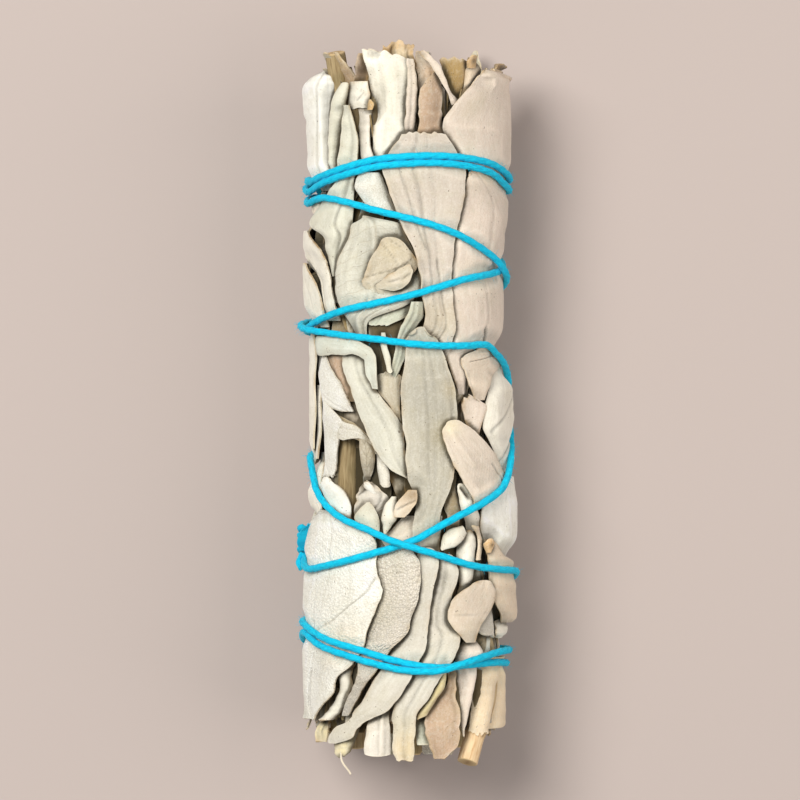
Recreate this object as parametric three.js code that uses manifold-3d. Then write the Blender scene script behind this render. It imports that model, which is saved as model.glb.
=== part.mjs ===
// A small bundle of dried white sage: seven leafy sprigs laid side by side, six round one, pressed
// into a cylinder and wound with one length of cotton string. Millimetres, +Z up. The bundle lies
// along Y with its leafy end at +Y; the origin is on the ground under its middle.
import * as THREE from 'three';
import { mergeVertices } from 'three/addons/utils/BufferGeometryUtils.js';
import Module from 'manifold-3d';

const wasm = await Module();
wasm.setup();

// ---- Driving dimensions -------------------------------------------------------------------------
// The bundle.
const axisHeight = 13.9; // the leaves below are pressed flat on the ground
const topRadius = 14.6; // from the axis to the outermost leaves, seen from above
const leftFlank = [[-50, 14.8], [-30, 15], [-20, 14.7], [-10, 13.9], [6, 14], [16, 14.9], [50, 15]];
const rightFlank = [[-50, 13.7], [-37, 13.9], [-30, 15.5], [-14, 15.5], [-5, 14.6], [8, 14.2], [50, 14.7]];
const coreRadius = 12; // the tightly packed inner leaves
const coreEnds = [-44.5, 45]; // where the packed leaves stop and single leaf ends stand out
const sprigsRound = 6;
const middleRadius = 4.5; // the sprig in the middle
const clearance = 0.3; // between sprigs, and round stems and string

// The leaves.
const bladeThickness = 0.65;
const lying = 0.12; // between blades of one sprig, which meet at their roots
const rootDepth = 1.2; // how far a blade's root reaches below the core's surface
const lowestLayer = 2.3; // from the outermost leaves down to the back of the lowest blades
const pressedLayer = 2.1; // the same below, where the leaves are pressed tight on the ones inside
const spanSag = 0.2; // how far a stiff blade sinks where it spans a dip
const straightEnough = 0.6; // how far an edge may stray from a straight line before it needs a corner
const foldedWidth = 3.8; // a blade narrower than this is flat across
const stripWidth = 4.8; // a wider one bends round the bundle in strips of this width or less
const mostStrips = 4;
const weldDistance = 0.06;

// The leaves on the underside, laid by rule; the bundle rests on the last four, between the strands.
const underside = {
  from: 96, to: 264, columns: 5, rows: [-36, -12, 12, 36],
  turn: 6, shift: 3, lengths: [26, 34], halfWidths: [3, 4.7], lean: 14, reach: 50.2,
};
const restLeaves = { angle: 180, half: 4.4, lean: 5, places: [[-43, 11], [-17, 19], [19.3, 10], [40, 14]] };
const leafOutline = [[0, 0.5], [0.3, 1], [0.75, 0.78], [1, 0.12]]; // [along, width]

// The leaf ends that stand out of the packed leaves at both ends.
const endLeaves = {
  rings: [6.4, 9.2], middleRings: [2.6], // distances from the axis
  halfTurns: [10, 17], middleHalfTurns: [45, 70], turn: 9, lengths: [1.6, 4.6], lean: 0.45, ragged: 0.6,
  rootLength: 1.5, narrowing: 0.12, spreading: 0.2,
};

// The stems.
const stemSides = 7;
const stemStep = 11; // between rings

// The string.
const stringRadius = 0.6;
const strandSides = 5;
const strandCorner = stringRadius * 1.1; // a five-sided strand of about the same section
const strandStep = 3.6;
const stringStandsOut = 0.55; // beyond the leaves beside it
const strandGap = 1.55; // between the middles of two strands where one passes over the other
const humpLength = 4.4; // how far a strand rises on each side of the one it passes over
const groundGap = 0.06; // under the strands below
const routeStep = 1; // between the points that the route is worked out at
const roomStretch = 26; // route points in each stretch of the room that the string takes in the leaves
const roomStep = 5;
const knotSize = [0.9, 2.1, 1.6];

const colours = { leaf: '#e6dfcf', stem: '#b89b70', string: '#12b7dc' };

// ---- The string -----------------------------------------------------------------------------------
// Its route round the bundle: [degrees from the top towards +X, y]. Each row is one turn, across the
// front from the left flank, then under the bundle and back to the left flank.
const stringTurns = [
  [[-76, -23.2], [-49, -22.6], [-18, -20.8], [4, -19], [17, -17.2], [31, -15.4], [48, -13.5], [63, -11.6],
    [75, -8.8], [87, -5.6], [104, -1.2], [120, 2.6], [150, 6.4], [200, 8.4], [250, 9.8]],
  [[-82, 10.4], [-55, 11.9], [-37, 13], [-18, 13.9], [0, 14.9], [17, 16.1], [36, 17.3], [63, 18.2],
    [95, 19.4], [130, 21.8], [180, 24.8], [215, 26.6], [235, 28.9], [250, 30.9], [262, 31.4]],
  [[-80, 30.9], [-55, 32.1], [-37, 33.1], [-18, 34.1], [0, 34.6], [17, 34.7], [36, 34.4], [55, 33.6],
    [75, 32.1], [92, 31.4], [130, 31.7], [180, 31.6], [230, 30.9], [260, 30.2]],
  [[-80, 29.5], [-55, 30.7], [-37, 31.7], [-18, 32.7], [0, 33.2], [17, 33.3], [36, 32.9], [55, 32.1],
    [72, 30.6], [92, 29.9], [130, 30.2], [180, 30], [230, 29.3], [260, 28.6]],
  [[-80, 28], [-58, 28.7], [-37, 28], [-18, 26.8], [8, 25.2], [26, 23.8], [42, 22.2], [60, 20.2],
    [74, 18.2], [95, 16.6], [130, 14.8], [180, 13], [230, 11.8], [258, 11.3]],
  [[-86, 10.9], [-73, 10.4], [-55, 9.9], [-37, 9.4], [-18, 8.9], [0, 8.3], [17, 8], [36, 8], [55, 8.1],
    [67, 7], [80, 5.8], [100, 3.9], [130, -1], [160, -3.6], [220, -6.2], [255, -7.2]],
  [[-85, -8.1], [-67, -12.1], [-54, -14.3], [-40, -16.1], [-22, -17.7], [-9, -19.1], [4, -20.2], [17, -21.2],
    [36, -22.6], [55, -23.2], [90, -23.8], [130, -26.2], [180, -28.8], [230, -30.2], [258, -30.6]],
  [[-80, -30.9], [-49, -32.9], [-27, -34.1], [-9, -35.4], [8, -36.5], [21, -36.8], [36, -36.5], [63, -36.3],
    [95, -36.6], [130, -36.8], [180, -36.4], [230, -34.8], [258, -33.5]],
  [[-80, -32.4], [-55, -34.1], [-37, -35.2], [-18, -36.5], [0, -37.3], [17, -37.2], [26, -36.6], [42, -35.6],
    [64, -34.8], [95, -34.7], [130, -34.7], [180, -34.2], [212, -32.9], [232, -30.2], [247, -25]],
];
const knotPlace = [-99, -20.6];
const knotEnds = [-21.6, -19.6]; // where the string leaves the knot, and where it comes back to it

// ---- Leaves placed one by one ----------------------------------------------------------------------
// Each is a ladder of rungs from its root to its tip, as seen from above: [y, left x, right x] for a
// level rung, [left x, left y, right x, right y] for a slanting one. They are laid in this order,
// each over the ones before it.
const placedLeaves = [
  { name: 'tan_back', rungs: [[42.6, -11.4, -8.1], [44.4, -11.8, -8.1], [45.7, -11.9, -7.6],
    [47.8, -11, -8.3], [48.8, -10.2, -9.3]] },
  { name: 'brown_point', rungs: [[42.8, -7.8, -5.4], [44.6, -7.8, -5.5], [47.1, -7.2, -6.2],
    [48.5, -6.7, -6.4]] },
  { name: 'ridge_left', rungs: [[29.7, -13.5, -10.6], [32.1, -14.2, -10.8], [35.3, -14.3, -11.4],
    [38.8, -14.7, -11.2], [42.2, -15, -10.6], [44.6, -14.8, -10.4], [46, -13.6, -11.4]] },
  { name: 'olive_tan', rungs: [[41.5, 6.4, 7.4], [44.9, 5.1, 8.1], [48, 4.5, 8.3]] },
  { name: 'behind_rim', rungs: [[42.8, 1.5, 4.4], [45.3, 1.4, 4.2], [46.6, 1.2, 4.1], [48.9, 1.1, 1.8]] },
  { name: 'hole_leaf', rungs: [[41.5, 7.1, 8.2], [42.6, 7.4, 8.1], [44.9, 8, 9.8], [46.6, 8.2, 10.9],
    [48.1, 8.1, 9.2]] },
  { name: 'torn_top', rungs: [[46.4, -3.2, 0.8], [48, -3.4, 0.8], [49.5, -3.6, 0.8],
    [50.7, -3.4, -2.7]] },
  { name: 'big_centre', rungs: [[33.2, -4.8, -1], [34.6, -4.8, -0.3], [37.3, -4.9, 1], [41.1, -5, 1.2],
    [45.1, -5.5, 1.3], [48, -6.1, 0.8], [49.3, -6.3, -2.3]] },
  { name: 'centre_fold', rungs: [[37.3, -0.6, 1], [41.1, -0.3, 1.2], [44.9, -0.1, 1.3],
    [47.8, -0.1, 0.8]] },
  { name: 'pink_brown', rungs: [[35.3, 1.5, 5.2], [37.5, 1.3, 5.1], [39.3, 1.6, 4.8], [42, 1.4, 4.9],
    [44.4, 2.2, 4.8], [46.3, 3.8, 4.5]] },
  { name: 'rim_strip', rungs: [[6.2, 41.5, 7.1, 42.1], [5.2, 43.5, 5.8, 43.8], [3.5, 46.6, 4.5, 47],
    [1.5, 48.6, 2.2, 49.1]] },
  { name: 'white_stub_low', rungs: [[34.4, -6.3, -4.8], [36.6, -7, -5.3], [38.4, -7, -5.4],
    [41.1, -8.1, -5]] },
  { name: 'white_stub', rungs: [[39.7, -7.6, -5.2], [41.1, -8.1, -5.7], [42.8, -8.4, -5.5],
    [44.7, -8, -5.5]] },
  { name: 'big_right', rungs: [[30.8, 8.2, 14.8], [32.6, 7.7, 14.8], [34.8, 6.5, 14.9], [37, 5.3, 14.9],
    [39.3, 5, 14.9], [42.4, 7.2, 14.9], [45.1, 9.4, 14.8], [46.9, 11.4, 14.7]] },
  { name: 'thin_left', rungs: [[32.1, -11.1, -10.2], [35.7, -11.4, -10], [39.7, -11.2, -9.2],
    [42.4, -10.8, -8.7], [44.7, -9.5, -8.1]] },
  { name: 'olive_long', rungs: [[41.5, -8.9, -8.4], [38.8, -9.2, -7.5], [36.1, -9.5, -7],
    [33.2, -9.9, -7.2], [31, -10.2, -7.6], [28.1, -12.5, -7.7], [25.2, -13.6, -7.9], [23.2, -12.2, -8.4],
    [21, -11.7, -9.3], [17.7, -10.7, -10.4]] },
  { name: 'white_band', rungs: [[32.1, -6.8, -4.1], [31, -7.3, -3.5], [29.7, -7.3, -3],
    [28.3, -6.4, -2.4], [26.6, -5.2, -1.6]] },
  { name: 'edge_left_a', rungs: [[11.5, -11.9, -9.4], [12.8, -12.3, -10.1], [15, -12.9, -10.8],
    [17.3, -13.5, -11.4], [19.5, -14.8, -11.8], [21.7, -14.9, -12.7], [24.2, -14.9, -14.5]] },
  { name: 'edge_left_b', rungs: [[10.6, -13.7, -11.7], [13, -14.2, -12.3], [15.7, -14.5, -13.1],
    [17.7, -14.8, -13.7], [19.7, -15.1, -14.7]] },
  { name: 'long_right', rungs: [[1.2, 7.1, 8.4], [3.6, 6.2, 8.6], [6.3, 5.7, 9.5], [8.3, 6.3, 12.9],
    [11, 6.6, 14], [17.3, 6.3, 14.1], [21.1, 6.4, 14.1], [24.6, 6.9, 14.2], [27.8, 7.7, 14.3],
    [31, 8.3, 13.4], [32.3, 8.5, 10.9]] },
  { name: 'wavy_edge', rungs: [[15.9, -2.3, 1.3], [14.1, -5.4, 0.7], [12.3, -5.6, 0],
    [10.8, -5.5, -2.7]] },
  { name: 'oval', rungs: [[9.2, -7, -5.8], [11.5, -8.3, -5.4], [13.7, -9.8, -0.1], [16.4, -10.3, 1.8],
    [19.9, -9.9, 1.3], [22.8, -8.4, 0], [25.1, -7.8, -1.1], [26.1, -6.9, -5.2]] },
  { name: 'veined', rungs: [[14.8, -4.8, -2.3], [16.4, -6.3, -0.1], [17.9, -5.9, 1.3], [19.9, -5.4, 1.1],
    [21.9, -4.2, 0], [23.1, -2.5, -0.9]] },
  { name: 'taupe_mid', rungs: [[-3.3, -1.2, -0.8], [-0.6, -2.5, -1.1], [2.1, -4.4, -1.1],
    [4.1, -4.3, -0.8]] },
  { name: 'stalk_mid', rungs: [[3.2, -3.6, -1], [5, -2.5, -0.7], [7, -1.8, -0.3], [9, -1.5, 0],
    [10.6, -1, 1.1], [12.1, -0.2, 2.1], [14.1, 0.5, 2]] },
  { name: 'long_centre', rungs: [[5.9, -0.1, 5.3], [8.3, -0.1, 6.1], [10.8, 2.2, 6.6], [15.9, 2, 6.2],
    [20.6, 1.1, 6.3], [24.4, -0.6, 6.9], [27.3, -1.8, 7.6], [29.7, -2.6, 8.1], [32.6, -3.9, 8.5],
    [35.3, -3.2, 6.5], [36.6, -0.9, 5.8], [37.7, 2.1, 5.1]] },
  { name: 'left_column', rungs: [[-6.4, -13.8, -12.1], [-0.6, -13.8, -12.1], [3.9, -13.8, -12.3],
    [8.3, -13.7, -12.1], [10.6, -14.1, -11.7]] },
  { name: 'taupe_fold', rungs: [[-12.1, -0.9, -11.2, -4], [-9, -2, -8.5, -4.5], [-6.8, -3.4, -6.8, -5.2],
    [-5.4, -4.7, -5.4, -6.1]] },
  { name: 'fuzzy_tri', rungs: [[8.3, -13.5, -10.6], [7, -13.3, -11.2], [4.8, -13.3, -10.4],
    [2.1, -13.2, -9], [0.3, -12.6, -8.2], [-1.2, -9, -7.6]] },
  { name: 'white_sweep', rungs: [[-12.5, -0.9, -11.2, -4.7], [-9, -2.6, -9, -5], [-6.8, -3.4, -7, -4.9],
    [-5.1, -5.2, -5.4, -5.8], [-4.2, -7.1, -4.5, -7.1]] },
  { name: 'white_down', rungs: [[0, -12.6, -11.4], [-2.3, -12.7, -9.4], [-4.7, -12.7, -9.7],
    [-7.4, -12.6, -10.1], [-10.3, -11.9, -10.2]] },
  { name: 'netted', rungs: [[-4.9, -6.9, -5.6], [-6.3, -6.8, -4.8], [-8.1, -6.6, -4.6],
    [-10.7, -6.1, -5.3]] },
  { name: 'stalk_end', rungs: [[-6.9, -4.5, -3.3], [-9.2, -4.3, -2.7], [-11.6, -4, -2.5]] },
  { name: 'diagonal', rungs: [[-9.4, 7.4, -6.1, 7.2], [-9.3, 6.1, -6, 5.9], [-9, 4.3, -5.4, 3.4],
    [-8, 1.9, -4.3, 1.6], [-7, -1.3, -2.2, -1.2], [-5.6, -4.6, -0.6, -3.7], [-4.5, -6.7, -0.5, -6.1],
    [-2.5, -9.1, -0.1, -8.5], [-0.2, -10.5, 0.1, -10.1]] },
  { name: 'loop_band', rungs: [[-13.5, 9.1, -13.5, 6.8], [-9.4, 9.2, -9.4, 6.8], [-6.8, 8.7, -7.4, 6.9],
    [-4.8, 7.2, -6.1, 6.1], [-4.4, 5, -5.7, 3.9], [-4.2, 1.9, -4.8, 2]] },
  { name: 'curl_strip_b', rungs: [[-6.9, -13.7, -12.8], [-9.6, -13.6, -12.7], [-13, -13.8, -12.9],
    [-15.9, -13.3, -12.9]] },
  { name: 'curl_strip_a', rungs: [[-0.2, -13.7, -12.9], [-2.9, -13.7, -12.7], [-6.3, -13.6, -12.6],
    [-7.8, -13.3, -12.6]] },
  { name: 'right_edge', rungs: [[-9.6, 13.7, 14.2], [-6.9, 12.7, 14.3], [-5.4, 11.8, 14.3],
    [-3.6, 10.8, 14.4], [-1.3, 10.9, 14.6], [1.6, 11.4, 14.6], [3.9, 12.3, 14.2], [5.7, 13, 13.7]] },
  { name: 'm_piece', rungs: [[-5.1, 9.2, 10], [-2.8, 8.1, 10.4], [-0.4, 7.6, 11], [0.9, 7.6, 9.1]] },
  { name: 'lipped', rungs: [[0.4, 9.6, 10.9], [2.3, 8.6, 11.4], [4.3, 8, 12.5], [6.1, 7.5, 13.3],
    [7.7, 9.4, 11.8]] },
  { name: 'inner_low_right', rungs: [[-21.9, 5, 7.5], [-16.1, 5.5, 7.2], [-14.1, 5, 7.5],
    [-12.1, 5.5, 6.7], [-9.6, 6.3, 6.9]] },
  { name: 'loop_leaf', rungs: [[-17.9, 8.3, 10.2], [-17, 8.2, 10.3], [-15.2, 7.6, 10], [-13, 7.1, 9],
    [-11.2, 6.6, 8]] },
  { name: 'right_low', rungs: [[-23.2, 14.2, 15.6], [-21.5, 12.2, 15.6], [-18.8, 10.9, 15.7],
    [-15.7, 10.3, 15.5], [-13.4, 11.3, 15.1], [-11.2, 13.3, 14.7]] },
  { name: 'centre_low', rungs: [[-21, 0.8, 4.5], [-17.4, 0.6, 4.5], [-15.2, 1.1, 4.6], [-13, 0.9, 5.4],
    [-10.7, 0, 6.2], [-8.5, -0.2, 6.5], [-5.8, -0.3, 6.5], [-2.7, -0.9, 6.9], [1.9, -1, 6.6],
    [5.2, -0.6, 5.5], [7.7, -0.3, 4.6], [9.7, -0.1, 3.5], [10.6, 1.1, 2.8]] },
  { name: 'tongue', rungs: [[9.6, -15, 11.8, -13.2], [8.9, -13, 14, -10.6], [7.7, -10.7, 13.6, -9.2],
    [6.4, -8.5, 12.1, -6.7], [5.4, -6.1, 10, -4.6], [4.7, -3.4, 7.6, -2.6], [5.5, -2.4, 6.9, -2.1]] },
  { name: 'cluster_mid', rungs: [[-26.8, 7, 8.1], [-25.2, 7.1, 8.9], [-23.2, 7, 9.4], [-20.6, 6.9, 9.7],
    [-19, 7.4, 9.7], [-17.7, 8.1, 9.2]] },
  { name: 'cluster_left', rungs: [[7.7, -17.1, 8.3, -18.2], [5.7, -17.7, 7.3, -19.5],
    [4.5, -19.2, 5.7, -20.4], [4.4, -20.1, 4.8, -20.7]] },
  { name: 'cluster_right', rungs: [[-21.9, 9.4, 10.3], [-20.3, 9.8, 10.7], [-18.6, 9.7, 10.6],
    [-17.2, 8.8, 9.8]] },
  { name: 'rounded_left', rungs: [[-17.2, -9.4, -7.9], [-14.8, -11.2, -8], [-13, -12.1, -8.7],
    [-11.4, -12.6, -9.8], [-10.3, -12.1, -11]] },
  { name: 'curled_mid', rungs: [[-18.1, -6.1, -3.6], [-15.7, -7.7, -3.6], [-13.9, -7.3, -2.5],
    [-12.1, -7, -3.6], [-10.9, -6.4, -5]] },
  { name: 'peach_low', rungs: [[-21, -2.3, 4.4], [-19.2, -3.6, 4.5], [-17.9, -2.7, 4.5],
    [-15.7, -0.5, 4.6]] },
  { name: 'almond', rungs: [[-18.2, -3.5, -3], [-17.2, -3.6, -2.4], [-16.1, -3.7, -1.7],
    [-14.3, -3.3, -1.6], [-13, -2.3, -1.6]] },
  { name: 'peach_tip', rungs: [[-15.9, -1.8, -0.5], [-14.3, -1.4, 0.9], [-13, -0.7, 1.2],
    [-12.2, -0.1, 1.1]] },
  { name: 'cut_stub_low', rungs: [[-44.3, -9, -6.8], [-46.3, -10.1, -7.2], [-47.4, -10.6, -7.6],
    [-48.8, -10.3, -8.3], [-49.4, -9.8, -8.9]] },
  { name: 'cup_low', rungs: [[-43.4, -13.1, -11.2], [-44.7, -13.5, -11.8], [-46.1, -13.7, -11.7],
    [-47.4, -13.5, -11.9]] },
  { name: 'white_hook', rungs: [[-36.3, -9.2, -7.4], [-37.6, -9.7, -7.9], [-39.8, -9.7, -7.9],
    [-41.4, -10.4, -8.3], [-43, -11.7, -9.4], [-44.3, -13.2, -10.8]] },
  { name: 'wedge_low', rungs: [[-41, -4.3, -2.5], [-43.9, -5.4, -2.6], [-46.1, -5.9, -2.5],
    [-48.3, -6.2, -2.3], [-49.2, -6, -2.5]] },
  { name: 'green_bit', rungs: [[-43, 1.2, 2.3], [-45.6, 1.1, 2.5], [-47.6, 1.3, 2.8]] },
  { name: 'end_right', rungs: [[-35.8, 12.7, 13.9], [-37.4, 12.7, 13.7], [-39.8, 12.4, 13.4],
    [-43.2, 11.5, 13.4], [-45.2, 11.3, 13.3], [-45.7, 11.3, 12.7]] },
  { name: 'strip_low', rungs: [[-33.1, 8, 9.6], [-34.7, 6.9, 10.7], [-36.5, 6.7, 9.9], [-39.4, 6.6, 9.4],
    [-41.4, 6.4, 8.9], [-43.4, 6.9, 8.5], [-46.5, 7.5, 7.8]] },
  { name: 'spoon', rungs: [[-36.3, 5.9, 6.6], [-39.4, 5.3, 6.5], [-41.6, 3.5, 6.7], [-43.4, 2.6, 7.1],
    [-45.6, 2.5, 7], [-47.4, 3, 7], [-48.4, 3.4, 6.2], [-49.5, 3.8, 4.9]] },
  { name: 'olive_strip', rungs: [[4.7, -37.4, 6.3, -35.4], [4.1, -39.1, 5.4, -37.9],
    [2.8, -41, 5.1, -39.6], [1.5, -43, 4.1, -41.2], [1.3, -44, 2.6, -43.5]] },
  { name: 'sweep_c', rungs: [[-21, 4.1, 6.9], [-24.1, 4, 6.9], [-28.4, 3.2, 5.8], [-30.8, 2.8, 6],
    [-32.2, 2.6, 7.1], [-34.4, 2.2, 6.9], [-37.2, 1.1, 5.3], [-38.9, 0.2, 4.1], [-41, -1.4, 3],
    [-43.4, -2.2, 1.3], [-45.6, -2.1, 1.1], [-47.6, -2.2, 0.9], [-49.8, -1.7, 0.8]] },
  { name: 'sweep_b', rungs: [[-20.1, 1.5, 4.4], [-23.7, 1.7, 4.1], [-26.4, 1.5, 3.3], [-29.3, 0.8, 3],
    [-31.9, -0.3, 2.7], [-34.4, -1.8, 2.3], [-37.6, -3.6, 0.7], [-39.4, -5.4, -0.2], [-41.2, -6.3, -1.4],
    [-43, -7.7, -3.1], [-44.3, -8.4, -5.8], [-45.4, -10.4, -7.2], [-46.8, -11.2, -8.1],
    [-47.5, -11, -10.1]] },
  { name: 'pebbled', rungs: [[-19.7, -3.4, 0.8], [-22.8, -4.3, 1.7], [-26.4, -3.7, 1.6],
    [-29.5, -4.8, 0.7], [-32.2, -5.8, -0.3], [-34.2, -6.4, -2.3], [-37.6, -7, -4.7], [-39.8, -7.9, -5.8],
    [-42.1, -8.7, -6.7], [-43.6, -8.9, -8.1]] },
  { name: 'big_low_left', rungs: [[-15, -12.5, -10.6], [-17, -13.5, -7.4], [-18.8, -13.9, -4.8],
    [-21, -14.1, -4.5], [-23.2, -14.1, -4.4], [-25.9, -14.4, -3.6], [-28.6, -14.7, -4.5],
    [-31.5, -14.8, -5.6], [-34.1, -14.8, -6.4], [-36.7, -14.9, -8.1], [-38.5, -14.9, -10.2],
    [-40.5, -14.9, -10.6], [-42.5, -14.8, -12.3], [-44.3, -14.1, -13.3]] },
  { name: 'grey_right', rungs: [[-33.3, 12.7, 14], [-31.9, 11.1, 15.1], [-30.8, 10.3, 15.2],
    [-29, 11.5, 13.6], [-27.6, 12.3, 12.8]] },
  { name: 'narrow_right', rungs: [[-30.8, 15.2, 15.6], [-28.4, 14, 15.6], [-25.9, 13, 15.6],
    [-23.2, 12.1, 15.6], [-21, 11.3, 14.2], [-19, 10.8, 12.3]] },
  { name: 'shield', rungs: [[-33.5, 8.3, 9.6], [-31.7, 6.7, 9.9], [-29.9, 5.7, 11.1], [-28.2, 5.8, 12.3],
    [-26.4, 7.6, 12.5], [-24.8, 9.7, 11.4]] },
];

// ---- Stems ----------------------------------------------------------------------------------------
// [degrees round the axis, distance from it, y], cut end first.
const stems = [
  { radius: 1.3, path: [[4, 7.2, -49.2], [2, 7.4, -20], [0, 7.6, 10], [2, 7, 36]] },
  { radius: 1.6, path: [[41, 12.6, -50.2], [50, 12.3, -46], [66, 11.9, -41], [74, 11.3, -36.5],
    [66, 9.5, -25], [60, 8, 0], [58, 7.5, 36]] },
  { radius: 1.2, path: [[122, 8.4, -48.6], [118, 7.6, -20], [120, 7.8, 10], [118, 7.6, 38]] },
  { radius: 1.4, path: [[176, 8, -49.6], [182, 7.6, -20], [180, 7.8, 10], [182, 7.5, 35]] },
  { radius: 1.2, path: [[238, 8.6, -48.2], [242, 7.6, -20], [240, 7.6, 10], [242, 7.6, 39]] },
  { radius: 1.45, path: [[-62, 8.2, -48.4], [-56, 9.6, -30], [-50, 10.9, -17], [-50, 10.9, -6],
    [-52, 9.8, 6], [-55, 9.8, 25], [-57, 11.6, 40], [-57, 13.2, 48.9]] },
  { radius: 1.5, path: [[0, 0.6, -49], [90, 0.5, -20], [200, 0.5, 10], [0, 0.4, 37]] },
];

// ---- Small helpers --------------------------------------------------------------------------------
const radians = THREE.MathUtils.degToRad;
const lerp = THREE.MathUtils.lerp;

let seed = 4242;
function draw(low, high) {
  seed = (seed * 16807) % 2147483647;
  return lerp(low, high, seed / 2147483647);
}

function readTable(table, y) {
  let k = 0;
  while (k < table.length - 2 && table[k + 1][0] < y) k += 1;
  const t = THREE.MathUtils.clamp((y - table[k][0]) / (table[k + 1][0] - table[k][0]), 0, 1);
  return lerp(table[k][1], table[k + 1][1], t);
}

function bundleRadius(angle, y) {
  const side = Math.sin(angle);
  return lerp(topRadius, readTable(side > 0 ? rightFlank : leftFlank, y), Math.abs(side));
}

function around(angle, y, radius) {
  return new THREE.Vector3(radius * Math.sin(angle), y, axisHeight + radius * Math.cos(angle));
}

// The angle of a point of the surface that is seen at x from above; past the flank it goes under.
function angleSeenAt(x, y) {
  const flank = readTable(x > 0 ? rightFlank : leftFlank, y);
  const past = Math.max(Math.abs(x) - flank, 0) / flank;
  return Math.sign(x) * (Math.asin(Math.min(Math.abs(x) / flank, 1)) + past);
}

function makeSolid(geometry) {
  geometry.deleteAttribute('normal');
  geometry.deleteAttribute('uv');
  const merged = mergeVertices(geometry, 1e-4);
  return new wasm.Manifold(new wasm.Mesh({
    numProp: 3,
    tolerance: weldDistance,
    vertProperties: new Float32Array(merged.attributes.position.array),
    triVerts: new Uint32Array(merged.index.array),
  }));
}

function makeGeometry(solid) {
  const mesh = solid.getMesh();
  const geometry = new THREE.BufferGeometry();
  geometry.setAttribute('position', new THREE.BufferAttribute(mesh.vertProperties, 3));
  geometry.setIndex(new THREE.BufferAttribute(mesh.triVerts, 1));
  geometry.computeVertexNormals();
  return geometry;
}

// Keeps the body with the most volume: cuts can leave loose scraps, and joins can seal a hollow.
function wholeBody(solid) {
  return solid.decompose().reduce((best, next) => (next.volume() > best.volume() ? next : best));
}

function boxesMeet(a, b) {
  const [boxA, boxB] = [a.boundingBox(), b.boundingBox()];
  return [0, 1, 2].every((i) => boxA.min[i] < boxB.max[i] && boxB.min[i] < boxA.max[i]);
}

function roundSection(radius, sides) {
  const turn = (2 * Math.PI) / sides;
  const corners = Array.from({ length: sides }, (_, i) => (
    new THREE.Vector2(radius * Math.cos((i + 0.5) * turn), radius * Math.sin((i + 0.5) * turn))
  ));
  return new THREE.Shape(corners);
}

function tube(points, radius, sides, steps) {
  const extrudePath = new THREE.CatmullRomCurve3(points);
  const section = roundSection(radius, sides);
  return new THREE.ExtrudeGeometry(section, { extrudePath, steps, bevelEnabled: false });
}

// ---- String ---------------------------------------------------------------------------------------
// No strand reaches lower than the ground under the bundle.
function aboveGround(radius, angle) {
  const lowest = (axisHeight - strandCorner - groundGap) / Math.max(-Math.cos(angle), 0.01);
  return Math.min(radius, lowest);
}

function stringRoute() {
  const hand = [[knotPlace[0], knotEnds[0]]];
  stringTurns.forEach((turn, n) => turn.forEach(([angle, y]) => hand.push([angle + 360 * n, y])));
  hand.push([knotPlace[0] + 360 * stringTurns.length, knotEnds[1]]);
  const flat = new THREE.CatmullRomCurve3(
    hand.map(([angle, y]) => new THREE.Vector3(radians(angle) * topRadius, y, 0)),
  );
  const count = Math.round(flat.getLength() / routeStep);
  const places = flat.getSpacedPoints(count).map((p) => {
    const angle = p.x / topRadius;
    const base = bundleRadius(angle, p.y) + stringStandsOut - stringRadius;
    return { angle, y: p.y, radius: aboveGround(base, angle) };
  });
  const lift = places.map(() => 0);
  const turnSteps = Math.round((1.5 * Math.PI * topRadius) / routeStep); // most of a turn
  places.forEach((here, i) => {
    for (let k = 0; k < i - turnSteps; k += 1) {
      const there = places[k];
      let apart = (here.angle - there.angle) % (2 * Math.PI);
      if (apart > Math.PI) apart -= 2 * Math.PI;
      const d = Math.hypot(apart * topRadius, here.y - there.y);
      if (d < strandGap) {
        const need = there.radius + Math.sqrt(strandGap ** 2 - d ** 2) - here.radius;
        lift[i] = Math.max(lift[i], need);
      }
    }
    here.lowRadius = here.radius;
    here.radius += lift[i];
  });
  return places.map((here, i) => {
    let hump = 0;
    lift.forEach((rise, k) => {
      const away = ((i - k) * routeStep) / humpLength;
      hump = Math.max(hump, rise * Math.exp(-away * away));
    });
    return around(here.angle, here.y, aboveGround(here.lowRadius + hump, here.angle));
  });
}

const routePoints = stringRoute();
const knotAngle = radians(knotPlace[0]);
const knot = around(knotAngle, knotPlace[1], bundleRadius(knotAngle, knotPlace[1]));

function makeString() {
  const length = new THREE.CatmullRomCurve3(routePoints).getLength();
  const strand = tube(routePoints, strandCorner, strandSides, Math.round(length / strandStep));
  return makeSolid(strand).add(knotLump(0));
}

function knotLump(extra) {
  const lump = new THREE.IcosahedronGeometry(1, 1);
  lump.scale(...knotSize.map((size) => size + extra)).translate(...knot.toArray());
  return makeSolid(lump);
}

// The room that the string takes in the leaves, in short overlapping stretches.
function stringRoom() {
  const cuts = [knotLump(clearance)];
  const corner = (stringRadius + clearance) * Math.SQRT2;
  for (let start = 0; start < routePoints.length - 3; start += roomStretch) {
    const points = routePoints.slice(start, start + roomStretch + 2);
    const apart = (cuts.length % 2) * 0.03; // keeps the faces of neighbouring stretches off one plane
    cuts.push(makeSolid(tube(points, corner + apart, 4, Math.round(points.length / roomStep))));
  }
  return cuts;
}

// ---- Stems ----------------------------------------------------------------------------------------
function makeStem({ radius, path }, extra) {
  const points = path.map(([angle, distance, y]) => around(radians(angle), y, distance));
  const ends = [points[0], points[points.length - 1]];
  if (extra > 0) {
    ends[0].y -= extra;
    ends[1].y += extra;
  }
  const steps = Math.round((path[path.length - 1][2] - path[0][2]) / stemStep);
  return makeSolid(tube(points, (radius + extra) / Math.cos(Math.PI / stemSides), stemSides, steps));
}

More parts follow.
